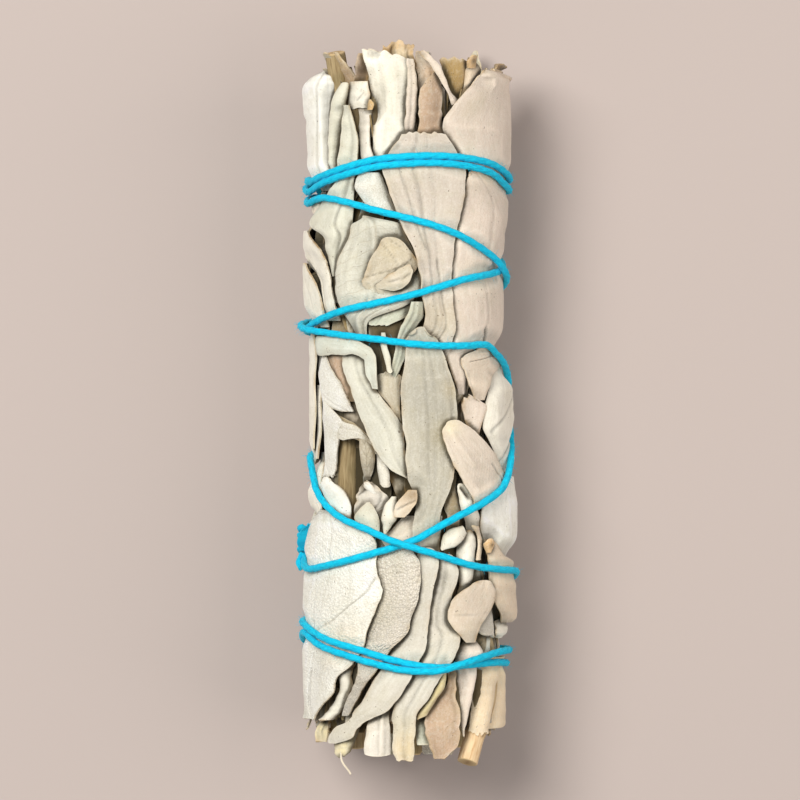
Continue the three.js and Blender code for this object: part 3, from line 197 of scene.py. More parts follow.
PLACED_LEAVES = [
    leaf("tan_back", [[41.5, -10.4, -7.4], [44.2, -10.8, -7.4], [45.6, -11, -7.6], [47.2, -11, -8.4],
        [48.3, -10.8, -9], [49, -10.4, -9.4]], hue="tan", roll=50, arch=0.6, tip=("round", 0.5),
        lift=0.8, dust=0.4, folds=[(0.3, -0.5, 0.2)], stains=[(0.75, 0.55, 1.2, "#c9a885", 0.7),
        (0.1, 0.8, 0.8, "#8d8663", 0.7)]),
    leaf("stub_back", [[45, -11.7, -10.3], [46.5, -12.1, -10.4], [47.9, -12.1, -10.4], [48.8, -11.7, -10.7]],
        hue="grey_tan", roll=80, arch=0.8, lift=0.5, dust=0.5, tip=("round", 0.4), rim=0.6),
    # This taupe sheet over the stem's lower part is painted shade
    leaf("stub_front", [[41, -12.2, -9.3], [43.2, -12.5, -9.1], [44.8, -12.4, -9.3], [46, -11.8, -10]],
        hue="taupe", roll=30, lift=0.4, tip=("round", 0.4), wrinkle=0.08),
    leaf("brown_point", [[42.8, -7.6, -5.4], [44.6, -7.6, -5.5], [47.1, -7.1, -5.8],
        [48.7, -6.8, -6.2]], hue="suede", roll=-50, arch=0.6, rim=0.9,
        stains=[(0.55, 0.6, 1.3, "#4a3a26", 0.85)]),
    leaf("green_ear", [[43.6, -13.7, -11.9], [45.3, -13.5, -12], [46.2, -13.2, -12.2]], hue="green", roll=60,
        tip=("round", 0.9)),
    leaf("ridge_left", [[29.7, -13.5, -10.6], [32.1, -14.2, -10.8], [35.3, -14.7, -11.4],
        [38.8, -15, -11.1], [42.2, -15.1, -10.5], [44.1, -15, -10.3], [45.5, -14.2, -10.7],
        [46.4, -13.3, -11.7]], hue="white", roll=78, arch=0.6, folds=[(0.36, -0.22, 0.35),
        (0.72, -0.2, 0.3)], tip=("round", 1.4)),
    leaf("olive_tan", [[41.5, 6.4, 7.4], [44.9, 5.1, 8.1], [48, 4.5, 8.3]], hue="olive", roll=30,
        arch=0.5, tip=("torn", 0.5), rim=0.6),
    leaf("behind_rim", [[42.8, 1.5, 4.4], [45.3, 1.4, 4.2], [46.6, 1.2, 4.1], [48.9, 1.1, 1.8]],
        hue="pink", roll=30, arch=0.6, folds=[(0.5, 0.25, 0.3)], rim=1, lift=0.7, dust=0.35,
        stains=[(0.6, 0.5, 1.2, "#c99a62", 0.6)]),
    leaf("hole_leaf", [[41.5, 7.1, 8.2], [42.6, 7.4, 8.1], [44.9, 8, 9.8], [46.6, 8.2, 10.9],
        [48.1, 8.1, 9.2]], hue="peach", roll=60, arch=0.7, rim=0.8, tip=("torn", 0.4)),
    leaf("knob", [[46.7, 8.4, 10], [47.6, 8.2, 9.9], [48.4, 8.4, 9.7]], hue="gold_light", roll=60, arch=0.7,
        rim=1, tip=("round", 0.4), stains=[(0.5, 0.6, 0.4, "#5a4526", 0.9)]),
    leaf("torn_top", [[45.6, -3.9, 1], [47.4, -3.8, 1], [49, -3.7, 0.95], [50.2, -3.5, 0.9]],
        hue="gold_light", roll=14, tip=("torn", 1.1), rim=1, wrinkle=0.3, edge=0.3, lift=0.3,
        lines=[(0.2, 0.5, 0.3, 1, -0.35, 0.16), (0.55, 0.4, 0.45, 1, 0.3, 0.2),
        (0.8, 0.5, 0.75, 1, -0.3, 0.15)], stains=[(0.15, 0.8, 0.9, "#b98f4e", 0.8),
        (0.6, 0.7, 1.0, "#f0dcb6", 0.8), (0.85, 0.95, 0.7, "#9c7a48", 0.6)]),
    leaf("big_centre", [[33.2, -4.8, -1], [34.6, -4.8, -0.3], [37.3, -4.9, 1], [41.1, -5, 1.2],
        [45.1, -5.5, 1.3],
        [47.2, -6, 0.9], [-6.4, 49.4, 0.5, 48.1]], hue="cream", roll=26, arch=0.5,
        tip=("torn", 0.6), wrinkle=0.1, folds=[(0.3, -0.06, 0.3)], rim=0.5),
    leaf("centre_fold", [[37.3, -0.6, 1], [41.1, -0.3, 1.2], [44.9, -0.1, 1.3], [47.8, -0.1, 0.8]],
        hue="pink", roll=70, arch=0.8, folds=[(0.42, -0.2, 0.2)], tip=("cut", 0.2)),
    leaf("pink_brown", [[35.3, 1.5, 5.2], [37.5, 1.3, 5.1], [39.3, 1.6, 4.8], [42, 1.4, 4.9],
        [44.4, 2.2, 4.8], [46.3, 3.8, 4.5]], hue="suede", roll=36, arch=0.6, rim=1, edge=0.14,
        tip=("round", 0.4), wrinkle=0.05),
    leaf("rim_strip", [[6.2, 41.5, 7.1, 42.1], [5.2, 43.5, 5.8, 43.8], [3.5, 46.6, 4.5, 47],
        [1.5, 48.6, 2.2, 49.1]], hue="pink", roll=60, arch=0.8, rim=0.8, lift=0.5),
    leaf("white_stub_low", [[33, -6.3, -4.6], [36.6, -7, -5.3], [38.4, -7, -5.4], [41.1, -8.1, -5]],
        hue="dull_cream", roll=95, arch=0.9, rim=0.4),
    leaf("white_stub", [[41, -8.4, -5.5], [41.9, -8.5, -5.4], [42.8, -8.5, -5.4], [44.8, -8.2, -5.6]],
        hue="cream", roll=70, arch=0.7, root=("torn", 0.4), rim=0.9, lift=0.3, wrinkle=0.1,
        lines=[(0.5, 0.35, 0.7, 0.55, -0.15, 0.12), (0.6, 0.7, 0.8, 0.5, -0.12, 0.12)]),
    leaf("gold_fleck", [[40.8, -5.7, -5.1], [41.6, -5.6, -4.8], [42.2, -5.4, -5.1]], hue="gold", roll=50),
    # Its dark spot is painted shade inside the hollow
    leaf("hollow", [[43.8, 12, 14.7], [45.6, 12.2, 14.8], [46.7, 12.4, 14.7], [47.5, 13, 14.2]], hue="brown",
        roll=-60, arch=0.6, rim=1, creases=0, tip=("round", 0.4), stains=[(0.45, 0.7, 0.8, "#4b4330", 0.9)]),
    leaf("big_right", [[30.8, 8.2, 14.8], [32.6, 7.7, 14.8], [34.8, 6.5, 14.9], [37, 5.3, 14.9],
        [39.3, 5, 14.9], [42.4, 7.2, 14.9], [44.9, 9.3, 14.7],
        [45.7, 10.1, 13.8], [46.5, 10.8, 12.3]], hue="pink", roll=24,
        arch=0.5, rim=0.7, tip=("cut", 0.25), thick=0.42,
        stains=[(0.7, 0.75, 4, "#eed3b4", 0.5), (0.15, 0.5, 2.2, "#cdbfa4", 0.5)]),
    leaf("thin_left", [[32.1, -11.1, -10.2], [35.7, -11.4, -10], [39.7, -11.2, -9.2],
        [42.4, -10.8, -8.7], [44.7, -9.5, -8.1]], hue="olive_white", roll=95, arch=0.9,
        tip=("round", 0.5)),
    leaf("shadow_left", [[27, -14, -12.9], [23, -13.4, -11.4], [20, -12.9, -10.6], [16.5, -11.8, -10],
        [14, -10.9, -9.8]], hue="inner_dark", roll=20, lowest=12.2),
    leaf("red_curl", [[28.8, -13.7, -12.9], [26.8, -13.6, -12.6], [25.4, -13.3, -12.4]], hue="peach_white",
        roll=80, arch=0.8, stains=[(0.5, 0.4, 0.5, "#b07a5a", 0.7)]),
    leaf("olive_long", [[41.5, -8.9, -8.4], [38.8, -9.2, -7.5], [36.1, -9.5, -7], [33.2, -9.9, -7.2],
        [31, -10.2, -7.6], [28.1, -12.5, -7.7], [25.2, -13.6, -7.9], [23.2, -12.2, -8.4],
        [21, -11.7, -9.3], [17.7, -10.7, -10.4]], hue="olive_white", roll=36, arch=0.5,
        folds=[(0.72, -0.15, 0.3)], rim=0.2),
    leaf("white_band", [[32.1, -6.8, -4.1], [31, -7.3, -3.5], [29.7, -7.3, -3], [28.3, -6.4, -2.4],
        [26.6, -5.2, -1.6]], hue="white", roll=50, arch=0.6, felt=1),
    leaf("edge_left_a", [[11.5, -12, -9.7], [12.8, -12.2, -10], [15, -12.7, -10.6], [17.3, -13.1, -11],
        [19.5, -14, -11.6], [21.7, -14.9, -12.7], [24.2, -14.9, -14.4]], hue="cream", roll=26, arch=0.5,
        rim=1),
    leaf("edge_left_b", [[10.6, -13.7, -11.7], [13, -14.2, -12.3], [15.7, -14.5, -13.1],
        [17.7, -14.8, -13.7], [19.7, -15.1, -14.7]], hue="cream", roll=26, arch=0.5, rim=1, edge=0.1),
    leaf("long_right", [[1.2, 7.1, 8.4], [3.6, 6.2, 8.6], [6.3, 5.4, 9.5], [8.3, 5.8, 12.9],
        [11, 6.1, 14], [17.3, 5.7, 14.1], [21.1, 6.4, 14.1], [24.6, 6.9, 14.2], [27.8, 7.7, 14.3],
        [31, 8.3, 13.4], [32.3, 8.5, 10.9]], hue="pink", roll=20, arch=0.5, folds=[(0.86, -0.22, 0.25),
        (0.3, -0.08, 0.3)], tip=("torn", 0.4), lines=[(0.29, 0.37, 0.5, 0.23, -0.6, 0.2),
        (0.31, 0.34, 0.49, 0.25, -0.4, 0.14)], rim=0.5, thick=0.42,
        stains=[(0.5, 0.95, 2.0, "#c9a97c", 0.6), (0.9, 0.5, 2.5, "#cdbfae", 0.4)]),
    leaf("shadow_mid", [[12.4, -5.6, -0.8], [10.5, -5.6, -1], [8.4, -5.2, -1.8]], hue="inner_dark", roll=20,
        lowest=12.3),
    leaf("wavy_edge", [[15.9, -2.3, 1.3], [14.1, -5.4, 0.7], [12.3, -5.6, 0], [10.8, -5.5, -2.7]],
        hue="green", roll=20, edge=0.22, rim=0.6, tip=("torn", 0.3)),
    leaf("oval", [[9.2, -7, -5.8], [11.5, -8.3, -5.4], [13.7, -9.8, -0.1], [16.4, -10.3, 1.8],
        [19.9, -9.9, 1.3], [22.8, -8.4, 0], [25.1, -7.8, -1.1], [26.1, -6.9, -5.2]], hue="green_white",
        roll=48, arch=0.4, folds=[(0.46, 0.3, 0.35)], tip=("round", 1.0), rim=0.5, veins=0.6),
    leaf("veined", [[15.3, -4.9, -2.2], [16.4, -6.3, -1.8], [17.6, -6, 0.4], [18.8, -5.6, 1.3],
        [20.4, -5.1, 1], [21.9, -4.3, 0], [23.1, -3.8, -1.3]], hue="tan_cream", dust=0.7, roll=22,
        veins=0.45, rim=1, edge=0.2, root=("torn", 0.5), tip=("round", 0.5), wrinkle=0.12,
        lines=[(0.62, 0.5, 0.02, 0.3, -0.16, 0.13), (0.62, 0.5, 0.98, 0.72, -0.2, 0.13),
        (0.6, 0.5, 0.45, 0.05, -0.2, 0.13), (0.62, 0.5, 0.3, 0.98, -0.12, 0.12),
        (0.66, 0.48, 0.86, 0.28, 0.35, 0.25), (0.75, 0.85, 0.6, 0.95, -0.12, 0.12)],
        stains=[(0.93, 0.34, 1.0, "#6b6257", 0.85), (0.62, 0.2, 0.5, "#7a7062", 0.7),
        (0.4, 0.8, 1.6, "#d3c39f", 0.5)]),
    leaf("veined_flap", [[-4.5, 16.6, -4.2, 15.8], [-3.2, 17.5, -2.9, 15.6], [-1.8, 18.3, -1.4, 15.7],
        [-0.4, 19.1, 0.1, 16.8], [0.3, 19.3, 0.7, 18.4]], hue="tan_cream", roll=24, rim=1, arch=0.5, dust=0.8,
        lines=[(0.4, 0.3, 0.6, 0.9, -0.2, 0.14)], stains=[(0.4, 0.5, 0.8, "#e6dccb", 0.6)]),
    leaf("taupe_mid", [[-3.3, -1.2, -0.8], [-0.6, -2.5, -1.1], [2.1, -4.4, -1.1], [4.1, -4.3, -0.8]],
        hue="tan_cream", roll=25, dust=0.7, rim=0.7, tip=("torn", 0.5)),
    leaf("stalk_mid", [[2.8, -2.9, -1.9], [5, -2.4, -1], [7, -1.8, -0.3], [9, -1.5, 0], [10.6, -1, 1.1],
        [12.1, -0.2, 2.1], [14.1, 0.5, 2]], hue="green", dust=0.3, roll=55, arch=0.6, root=("torn",
        0.8), folds=[(0.35, -0.25, 0.25), (0.7, -0.2, 0.2)], rim=0.4),
    leaf("long_centre", [[5.9, -0.1, 5.3], [8.3, -0.1, 6.1], [10.8, 2.2, 6.6], [15.9, 2, 6.2],
        [20.6, 1.1, 6.3], [24.4, -0.6, 6.9], [27.3, -1.8, 7.6], [29.7, -2.6, 7.9], [32.6, -3.7, 8],
        [34.5, -2.8, 7], [36.2, -1.5, 6], [37.6, -0.9, 5.2]], hue="dull_pink", roll=20, arch=0.5,
        folds=[(0.36, -0.14, 0.3), (0.55, -0.06, 0.2)], rim=0.5, thick=0.42, tip=("cut", 0.25),
        lines=[(0.2, 0.9, 0.25, 0.5, -0.12, 0.22), (0.55, 0.45, 0.62, 0.05, -0.16, 0.2)],
        stains=[(0.5, 0.2, 2.5, "#cdbb98", 0.35)]),
    # This taupe sheet is painted shade: the shaded face under the edge of the white leaf laid over it
    leaf("taupe_fold", [[-12.1, -0.9, -11.2, -4], [-9, -2, -8.5, -4.5], [-6.8, -3.4, -6.8, -5.2],
        [-5.4, -4.7, -5.4, -6.1]], hue="taupe", roll=30),
    leaf("grey_behind", [[9.8, -3.9, -3.1], [8, -3.8, -2.9], [6, -3.4, -2.4], [4.3, -2.9, -2.1]],
        hue="olive_white", roll=70, dust=0.6, rim=0.5, tip=("torn", 0.3)),
    leaf("brown_band", [[8.6, -12.1, -9.4], [6, -11.6, -9], [3, -10.4, -8.2], [0.2, -8.8, -7.4]],
        hue="suede", roll=20, rim=0.8, stains=[(0.25, 0.15, 1.1, "#4c3c28", 0.85)]),
    leaf("fuzzy_tri", [[8.3, -13.8, -12.3], [6.6, -13.9, -11.8], [4.5, -13.9, -10.7], [2.3, -13.7, -9.3],
        [0.1, -12.8, -8.3], [-1.2, -9.2, -7.6]], hue="white", roll=8, arch=0.3, felt=1, rim=1),
    leaf("white_sweep", [[-12.5, -0.9, -11.2, -4.7], [-9, -2.6, -9, -5], [-6.8, -3.4, -7, -4.9],
        [-5.1, -5.2, -5.4, -5.8], [-4.2, -7.1, -4.5, -7.1]], hue="white", roll=26, arch=0.5, felt=1),
    leaf("white_down", [[0, -13.3, -11.6], [-2.3, -13.5, -9.4], [-4.7, -13.5, -9.7],
        [-7.4, -13.3, -10.1], [-10.3, -12.5, -10.2]], hue="white", roll=10, arch=0.3, felt=1,
        tip=("torn", 0.6), rim=0.9),
    leaf("netted", [[-4.9, -6.9, -5.6], [-6.3, -6.8, -4.8], [-8.1, -6.6, -4.6], [-10.7, -6.1, -5.3]],
        hue="grey_tan", roll=50, arch=0.6, veins=1, rim=0.6),
    leaf("stalk_end", [[-6.9, -4.5, -3.3], [-9.2, -4.3, -2.7], [-11.6, -4, -2.5]], hue="cream", roll=70,
        arch=0.8, felt=0.6, tip=("torn", 0.4)),
    leaf("diagonal", [[-9.4, 7.4, -6.1, 7.2], [-9.3, 6.1, -6, 5.9], [-9, 4.3, -5.4, 3.4],
        [-8, 1.9, -4.3, 1.6], [-7, -1.3, -2.2, -1.2], [-5.6, -4.6, -0.6, -3.7],
        [-4.5, -6.7, -0.5, -6.1], [-2.5, -9.1, -0.1, -8.5], [-0.2, -10.5, 0.1, -10.1]],
        hue="green_white", roll=34, arch=0.5, rim=0.6, folds=[(0.6, -0.08, 0.3)]),
    leaf("loop_band", [[-13.5, 9.1, -13.5, 6.8], [-9.4, 9.2, -9.4, 6.8], [-6.8, 8.7, -7.4, 6.9],
        [-4.8, 7.2, -6.1, 6.1], [-4.4, 5, -5.7, 3.9], [-4.2, 1.9, -4.8, 2]], hue="cool_white", roll=40,
        arch=0.5, rim=0.3),
    leaf("curl_strip_b", [[-6.9, -13.7, -12.8], [-9.6, -13.6, -12.7], [-13, -13.8, -12.9],
        [-15.9, -13.3, -12.9]], hue="cream", roll=60, rim=0.8),
    leaf("curl_strip_a", [[2.5, -13.4, -13.1], [-2.9, -13.4, -12.9], [-6.3, -13.4, -12.9],
        [-7.8, -13.3, -12.9]], hue="cream", roll=60, rim=0.8),
    leaf("left_column", [[-8.6, -13.8, -13.6], [-5, -14, -13.5], [0, -14, -13.4], [4, -14, -13.5],
        [8.3, -14, -13.5], [10.6, -14.2, -13.6]], hue="cream", roll=40, arch=0.6, rim=0.8,
        root=("round", 1.5)),
    leaf("right_edge", [[-9.6, 13.7, 14.2], [-6.9, 12.7, 14.3], [-5.4, 11.8, 14.3], [-3.6, 10.8, 14.4],
        [-1.3, 10.9, 14.6], [1.6, 11.4, 14.6], [3.9, 12.3, 14.2], [5.7, 13, 13.7]], hue="cream",
        roll=40, arch=0.5, rim=0.4,
        proud=0.5, dust=0.6, lines=[(0.1, 0.35, 0.6, 0.75, -0.15, 0.3), (0.2, 0.1, 0.5, 0.3, -0.2, 0.25)]),
    leaf("m_piece", [[-5.1, 9.2, 10], [-2.8, 8.1, 10.4], [-0.4, 7.6, 11], [0.9, 7.6, 9.1]], hue="pink",
        roll=20, arch=0.5, tip=("torn", 1.1), rim=1),
    leaf("lipped", [[0.4, 9.6, 10.9], [2.3, 8.6, 11.4], [4.3, 8, 12.5], [6.1, 7.5, 13.3],
        [7.7, 9.4, 11.8]], hue="suede_light", roll=30, arch=0.6, rim=0.9, tip=("round", 0.6), lift=0.5,
        lines=[(0.1, 0.6, 0.4, 0.78, -0.3, 0.16), (0.4, 0.78, 0.9, 0.72, -0.26, 0.16),
        (0.25, 0.85, 0.8, 0.9, 0.3, 0.4)]),
    leaf("inner_low_right", [[-21.9, 5, 7.5], [-16.1, 5.5, 7.2], [-14.1, 5, 7.5], [-12.1, 5.5, 6.7],
        [-9.6, 6.3, 6.9]], hue="taupe", roll=40),
    # Its row of dark spots is painted shade in a hole in the curl
    leaf("loop_leaf", [[-17.9, 8.3, 10.2], [-17, 8.2, 10.3], [-15.2, 7.6, 10], [-13, 7.1, 9],
        [-11.2, 6.6, 8]], hue="cream", roll=60, arch=0.8, rim=0.7, tip=("round", 0.5),
        lines=[(0.42, 0.9, 0.55, 0.72, -0.7, 0.24)], dust=0.5,
        stains=[(0.45, 0.86, 0.3, "#2c2619", 0.95), (0.5, 0.78, 0.32, "#2c2619", 0.95),
        (0.55, 0.7, 0.28, "#2c2619", 0.9)]),
    leaf("right_low", [[-23.2, 14.2, 15.6], [-21.5, 12.2, 15.6], [-18.8, 10.9, 15.7],
        [-15.7, 10.3, 15.5], [-13.4, 11.3, 15.1], [-11.2, 13.3, 14.7], [-10.3, 14.1, 14.5]],
        hue="white", dust=0.6, roll=34, arch=0.5, rim=0.4, folds=[(0.85, -0.3, 0.2)]),
    leaf("peach_low", [[-21, -2.3, 4.4], [-19.2, -3.6, 4.5], [-17.9, -2.7, 4.5], [-15.7, -0.5, 4.6]],
        hue="peach_white", dust=0.6, roll=20),
    # Its olive spots on the right are painted shade
    leaf("centre_low", [[-21, 0.8, 4.5], [-17.4, 0.6, 4.5], [-15.2, 1.1, 4.6], [-13, 0.9, 5.4],
        [-10.7, 0, 6.2], [-8.5, -0.2, 6.5], [-5.8, -0.3, 6.5], [-2.7, -0.9, 6.9], [1.9, -1, 6.6],
        [5.2, -0.6, 5.5], [7.7, -0.3, 4.6], [9.7, -0.1, 3.5], [10.6, 1.1, 2.8]], hue="stone",
        roll=26, arch=0.5, folds=[(0.6, -0.05, 0.3)], rim=0.6, thick=0.42, tip=("round", 0.8),
        lines=[(0.45, 0.25, 0.45, 0.95, -0.06, 0.25), (0.7, 0.1, 0.62, 0.7, 0.08, 0.5)],
        stains=[(0.72, 0.52, 2.2, "#a89a6e", 0.45), (0.95, 0.72, 1.5, "#b9a26c", 0.4)]),
    leaf("tongue", [[9.6, -15, 11.8, -13.2], [8.9, -13, 14, -10.6], [7.7, -10.7, 13.6, -9.2],
        [6.4, -8.5, 12.1, -6.7], [5.4, -6.1, 10, -4.6], [4.7, -3.6, 8.5, -3.1], [5.2, -2.5, 7.3, -2.2]],
        hue="peach_white", roll=34, arch=0.5, rim=0.7, tip=("round", 0.4), thick=0.42,
        lines=[(0.3, 0.9, 0.35, 0.5, 0.14, 0.5), (0.75, 0.45, 0.85, 0.1, -0.2, 0.2)],
        stains=[(0.3, 0.95, 1.6, "#efe2b8", 0.6)]),
    leaf("cluster_mid", [[-26.8, 7, 8.1], [-25.2, 7.1, 8.9], [-23.2, 7, 9.4], [-20.6, 6.9, 9.7],
        [-19, 7.4, 9.7], [-17.7, 8.1, 9.2]], hue="cream", roll=70, arch=0.8, rim=0.6, tip=("round", 0.6)),
    leaf("cluster_left", [[7.7, -17.1, 8.3, -18.2], [5.7, -17.7, 7.3, -19.5], [4.5, -19.2, 5.7, -20.4],
        [4.4, -20.1, 4.8, -20.7]], hue="cream", roll=80, arch=0.8, rim=0.6, tip=("round", 0.5)),
    leaf("cluster_right", [[-21.9, 9.4, 10.3], [-20.3, 9.8, 10.7], [-18.6, 9.7, 10.6],
        [-17.2, 8.8, 9.8]], hue="peach", roll=80, arch=0.8, rim=0.8),
    leaf("rounded_left", [[-17.2, -9.4, -7.9], [-14.8, -11.2, -8], [-13, -12.1, -8.7],
        [-11.4, -12.6, -9.8], [-10.3, -12.1, -11]], hue="white", roll=28, arch=0.5, rim=0.4,
        tip=("round", 0.5)),
    # Its dark spot is painted shade in a hole
    leaf("curled_mid", [[-18.1, -6.1, -3.6], [-15.7, -7.7, -3.6], [-13.9, -7.3, -2.5],
        [-12.1, -7, -3.6], [-10.9, -6.4, -5]], hue="dull_cream", roll=44, arch=0.7, rim=0.8,
        tip=("torn", 0.4), edge=0.2, wrinkle=0.16, lines=[(0.1, 0.75, 0.45, 0.95, -0.3, 0.25),
            (0.5, 0.3, 0.8, 0.8, -0.2, 0.2), (0.6, 0.85, 0.95, 0.8, 0.25, 0.25)],
        stains=[(0.15, 0.92, 0.5, "#5f5038", 0.8)]),
    leaf("curl_flap", [[-12.6, -5.3, -4.4], [-11.8, -6.2, -4.7], [-11, -6.3, -5.4]], hue="white", roll=50,
        arch=0.7, rim=0.8, tip=("torn", 0.3), dust=0.5),
    leaf("curl_low", [[-18.2, -5.9, -4], [-16.2, -7.5, -4.1], [-14.6, -6.6, -4.6], [-13.9, -5.9, -5]],
        hue="olive_white", roll=34, arch=0.6, rim=0.8, tip=("torn", 0.4), dust=0.6),
    leaf("almond", [[-18.2, -3.5, -3], [-17.2, -3.6, -2.4], [-16.1, -3.7, -1.7], [-14.3, -3.3, -1.6],
        [-13, -2.3, -1.6]], hue="cream", roll=70, arch=0.9, rim=0.5, lift=0.3),
    leaf("peach_tip", [[-15.9, -2, -0.5], [-14.3, -1.8, 0.9], [-13, -0.9, 1.2], [-12.1, -0.1, 1.2]],
        hue="peach", roll=30, arch=0.5, rim=1, lift=0.3, lines=[(0.2, 0.3, 0.9, 0.62, -0.3, 0.16)],
        stains=[(0.75, 0.85, 1.1, "#8f7049", 0.8), (0.1, 0.2, 0.9, "#f0e6d4", 0.8)]),
    leaf("cut_stub_low", [[-44.3, -9, -6.8], [-46.3, -10.1, -7.2], [-47.4, -10.6, -7.6],
        [-48.8, -10.3, -8.3], [-49.4, -9.8, -8.9]], hue="yellow", roll=95, arch=0.9, tip=("cut", 0.2)),
    # Its dark spot is painted shade inside the cup
    leaf("cup_low", [[-43.4, -13.1, -11.2], [-44.7, -13.5, -11.8], [-46.1, -13.7, -11.7],
        [-47.4, -13.5, -11.9]], hue="yellow", roll=-30, arch=0.5, rim=0.8,
        stains=[(0.6, 0.6, 0.7, "#6f6844", 0.8)]),
    leaf("white_hook", [[-36.3, -9.2, -7.4], [-37.6, -9.7, -7.9], [-39.8, -9.7, -7.9],
        [-41.4, -10.4, -8.3], [-43, -11.7, -9.4], [-44.3, -13.2, -10.8]], hue="cream", rim=0.8, roll=85,
        arch=0.8),
    leaf("wedge_low", [[-41, -4.3, -2.5], [-43.9, -5.4, -2.6], [-46.1, -5.9, -2.5], [-48.3, -6.2, -2.3],
        [-49.2, -6, -2.5]], hue="dull_cream", roll=30, arch=0.4, folds=[(0.62, 0.25, 0.25)],
        tip=("round", 0.3)),
    leaf("fibre_low", [[-48.4, -9.7, -9.62], [-50.2, -9.1, -9.04], [-51.8, -8.2, -8.15]], hue="cream",
        roll=60, creases=0, edge=0),
    leaf("green_bit", [[-43, 1.2, 2.3], [-45.6, 1.1, 2.5], [-47.6, 1.3, 2.8]], hue="green", roll=20),
    leaf("end_right", [[-35.8, 12.7, 13.9], [-37.4, 12.7, 13.7], [-39.8, 12.4, 13.4],
        [-43.2, 11.5, 13.4], [-45.2, 11.3, 13.3], [-45.7, 11.3, 12.7]], hue="gold_pale", roll=60, arch=0.6,
        tip=("round", 0.3)),
    leaf("stem_skin", [[-36.6, 10.2, 13.1], [-39.4, 9.7, 12.7], [-41.4, 9.3, 12.3], [-43.6, 8.9, 11.8],
        [-46.2, 8.4, 11.3]], hue="gold_pale", roll=70, arch=0.8, rim=0.2, tip=("torn", 0.5), dust=0.5,
        lift=0.5),
    leaf("strip_low", [[-33.1, 8, 9.6], [-34.7, 6.9, 10.7], [-36.5, 6.7, 9.9], [-39.4, 6.6, 9.4],
        [-41.4, 6.4, 8.9], [-43.4, 6.9, 8.5], [-46.5, 7.5, 7.8]], hue="pink", roll=60, arch=0.7,
        tip=("round", 0.3)),
    leaf("spoon", [[-36.3, 5.9, 6.6], [-39.4, 5.3, 6.5], [-41.6, 3.5, 6.7], [-43.4, 2.6, 7.1],
        [-45.6, 2.5, 7], [-47.4, 3, 7], [-48.4, 3.4, 6.2], [-49.5, 3.8, 4.9]], hue="suede",
        roll=-34, arch=0.6, rim=1, edge=0.15, veins=0.4),
    leaf("olive_strip", [[4.7, -37.4, 6.3, -35.4], [4.1, -39.1, 5.4, -37.9], [2.8, -41, 5.1, -39.6],
        [1.5, -43, 4.1, -41.2], [1.3, -44, 2.6, -43.5]], hue="yellow_olive", roll=60, arch=0.7, rim=0.8),
    leaf("sweep_c", [[-21, 3.7, 6.9], [-24.1, 3.4, 6.9], [-28.4, 2.6, 5.8], [-30.8, 2.2, 6],
        [-32.2, 2, 7.1], [-34.4, 1.6, 6.9], [-37.2, 0.3, 5.3], [-38.9, -0.5, 4.1], [-41, -1.6, 3],
        [-43.4, -2.2, 1.3], [-45.6, -2.1, 1.1], [-47.6, -2.2, 0.9], [-49.8, -1.7, 0.8]],
        hue="grey_white", roll=30, arch=0.5, folds=[(0.5, -0.12, 0.3)], rim=0.4, root=("round", 1.2),
        tip=("cut", 0.2), stains=[(0.7, 0.94, 3.0, "#e8cf9c", 0.7)]),
    leaf("strip_low_a", [[-38.7, -6, -5.5], [-41, -7.4, -6.7], [-43.2, -8.6, -7.9], [-45, -8.9, -8.2]],
        hue="cream", roll=80, rim=1, arch=0.8, tip=("round", 0.3)),
    leaf("sweep_b", [[-20.1, 1.1, 4.4], [-23.7, 1.1, 4.1], [-26.4, 0.9, 3.3], [-29.3, 0, 3],
        [-31.9, -1.2, 2.7], [-34.4, -2.7, 2.3], [-37.6, -4.2, 0.7], [-39.4, -5.4, -0.2],
        [-41.2, -6.3, -1.4], [-43, -7.7, -3.1], [-44.3, -8.4, -5.8], [-45.4, -10.4, -7.2],
        [-46.8, -11.2, -8.1], [-47.5, -11, -10.1]], hue="grey_white", roll=34, arch=0.6,
        root=("round", 1.2), rim=0.5),
    leaf("pebbled", [[-19.7, -4.3, 0.8], [-22.8, -5.1, 1.7], [-26.4, -4.6, 1.6], [-29.5, -5.6, 0.7],
        [-32.2, -6.6, -0.3], [-34.2, -7, -2.3], [-37.6, -7, -4.7], [-39.8, -7.8, -6.3],
        [-42.1, -8.8, -7.6], [-43.6, -9.2, -8.5]], hue="dull_cream", roll=26, arch=0.5, pebble=1.0, rim=0.7,
        root=("round", 1.0)),
    leaf("knot_shade", [[-18.4, -15.5, -14.4], [-20.5, -15.7, -14.2], [-22.8, -15.2, -14.2]],
        hue="inner_dark", roll=20, proud=0.5, creases=0),
    leaf("big_low_left", [[-15, -12.5, -10.6], [-17, -13.5, -7.4], [-18.8, -13.9, -4.8],
        [-21, -14.1, -4.5], [-23.2, -14.1, -4.4], [-25.9, -14.4, -3.6], [-28.6, -14.7, -4.5],
        [-31.5, -14.8, -5.6], [-34.1, -14.8, -6.4], [-36.7, -14.9, -8.1], [-38.5, -14.9, -10.2],
        [-40.5, -14.9, -10.6], [-42.5, -14.8, -12.3], [-44.3, -14.1, -13.3]], hue="white", roll=18,
        arch=0.5, rim=0.6, thick=0.42, pebble=0.55, lines=[(0.98, 0.3, 0.72, 0.5, -0.2, 0.12),
        (0.72, 0.5, 0.45, 0.58, -0.12, 0.14), (0.55, 0.75, 0.62, 0.98, -0.1, 0.3)],
        stains=[(0.85, 0.62, 3.2, "#ecd9bd", 0.7), (0.25, 0.92, 3.5, "#d9d3bd", 0.4)]),
    leaf("grey_right", [[-32.7, 12, 13.6], [-31.9, 10, 15], [-30.8, 10, 15.3], [-29, 11, 15.2],
        [-27.6, 11.6, 14.8], [-26.2, 12, 14.4]], hue="grey_white", roll=8, felt=0.6, root=("round", 0.8),
        dust=0.5),
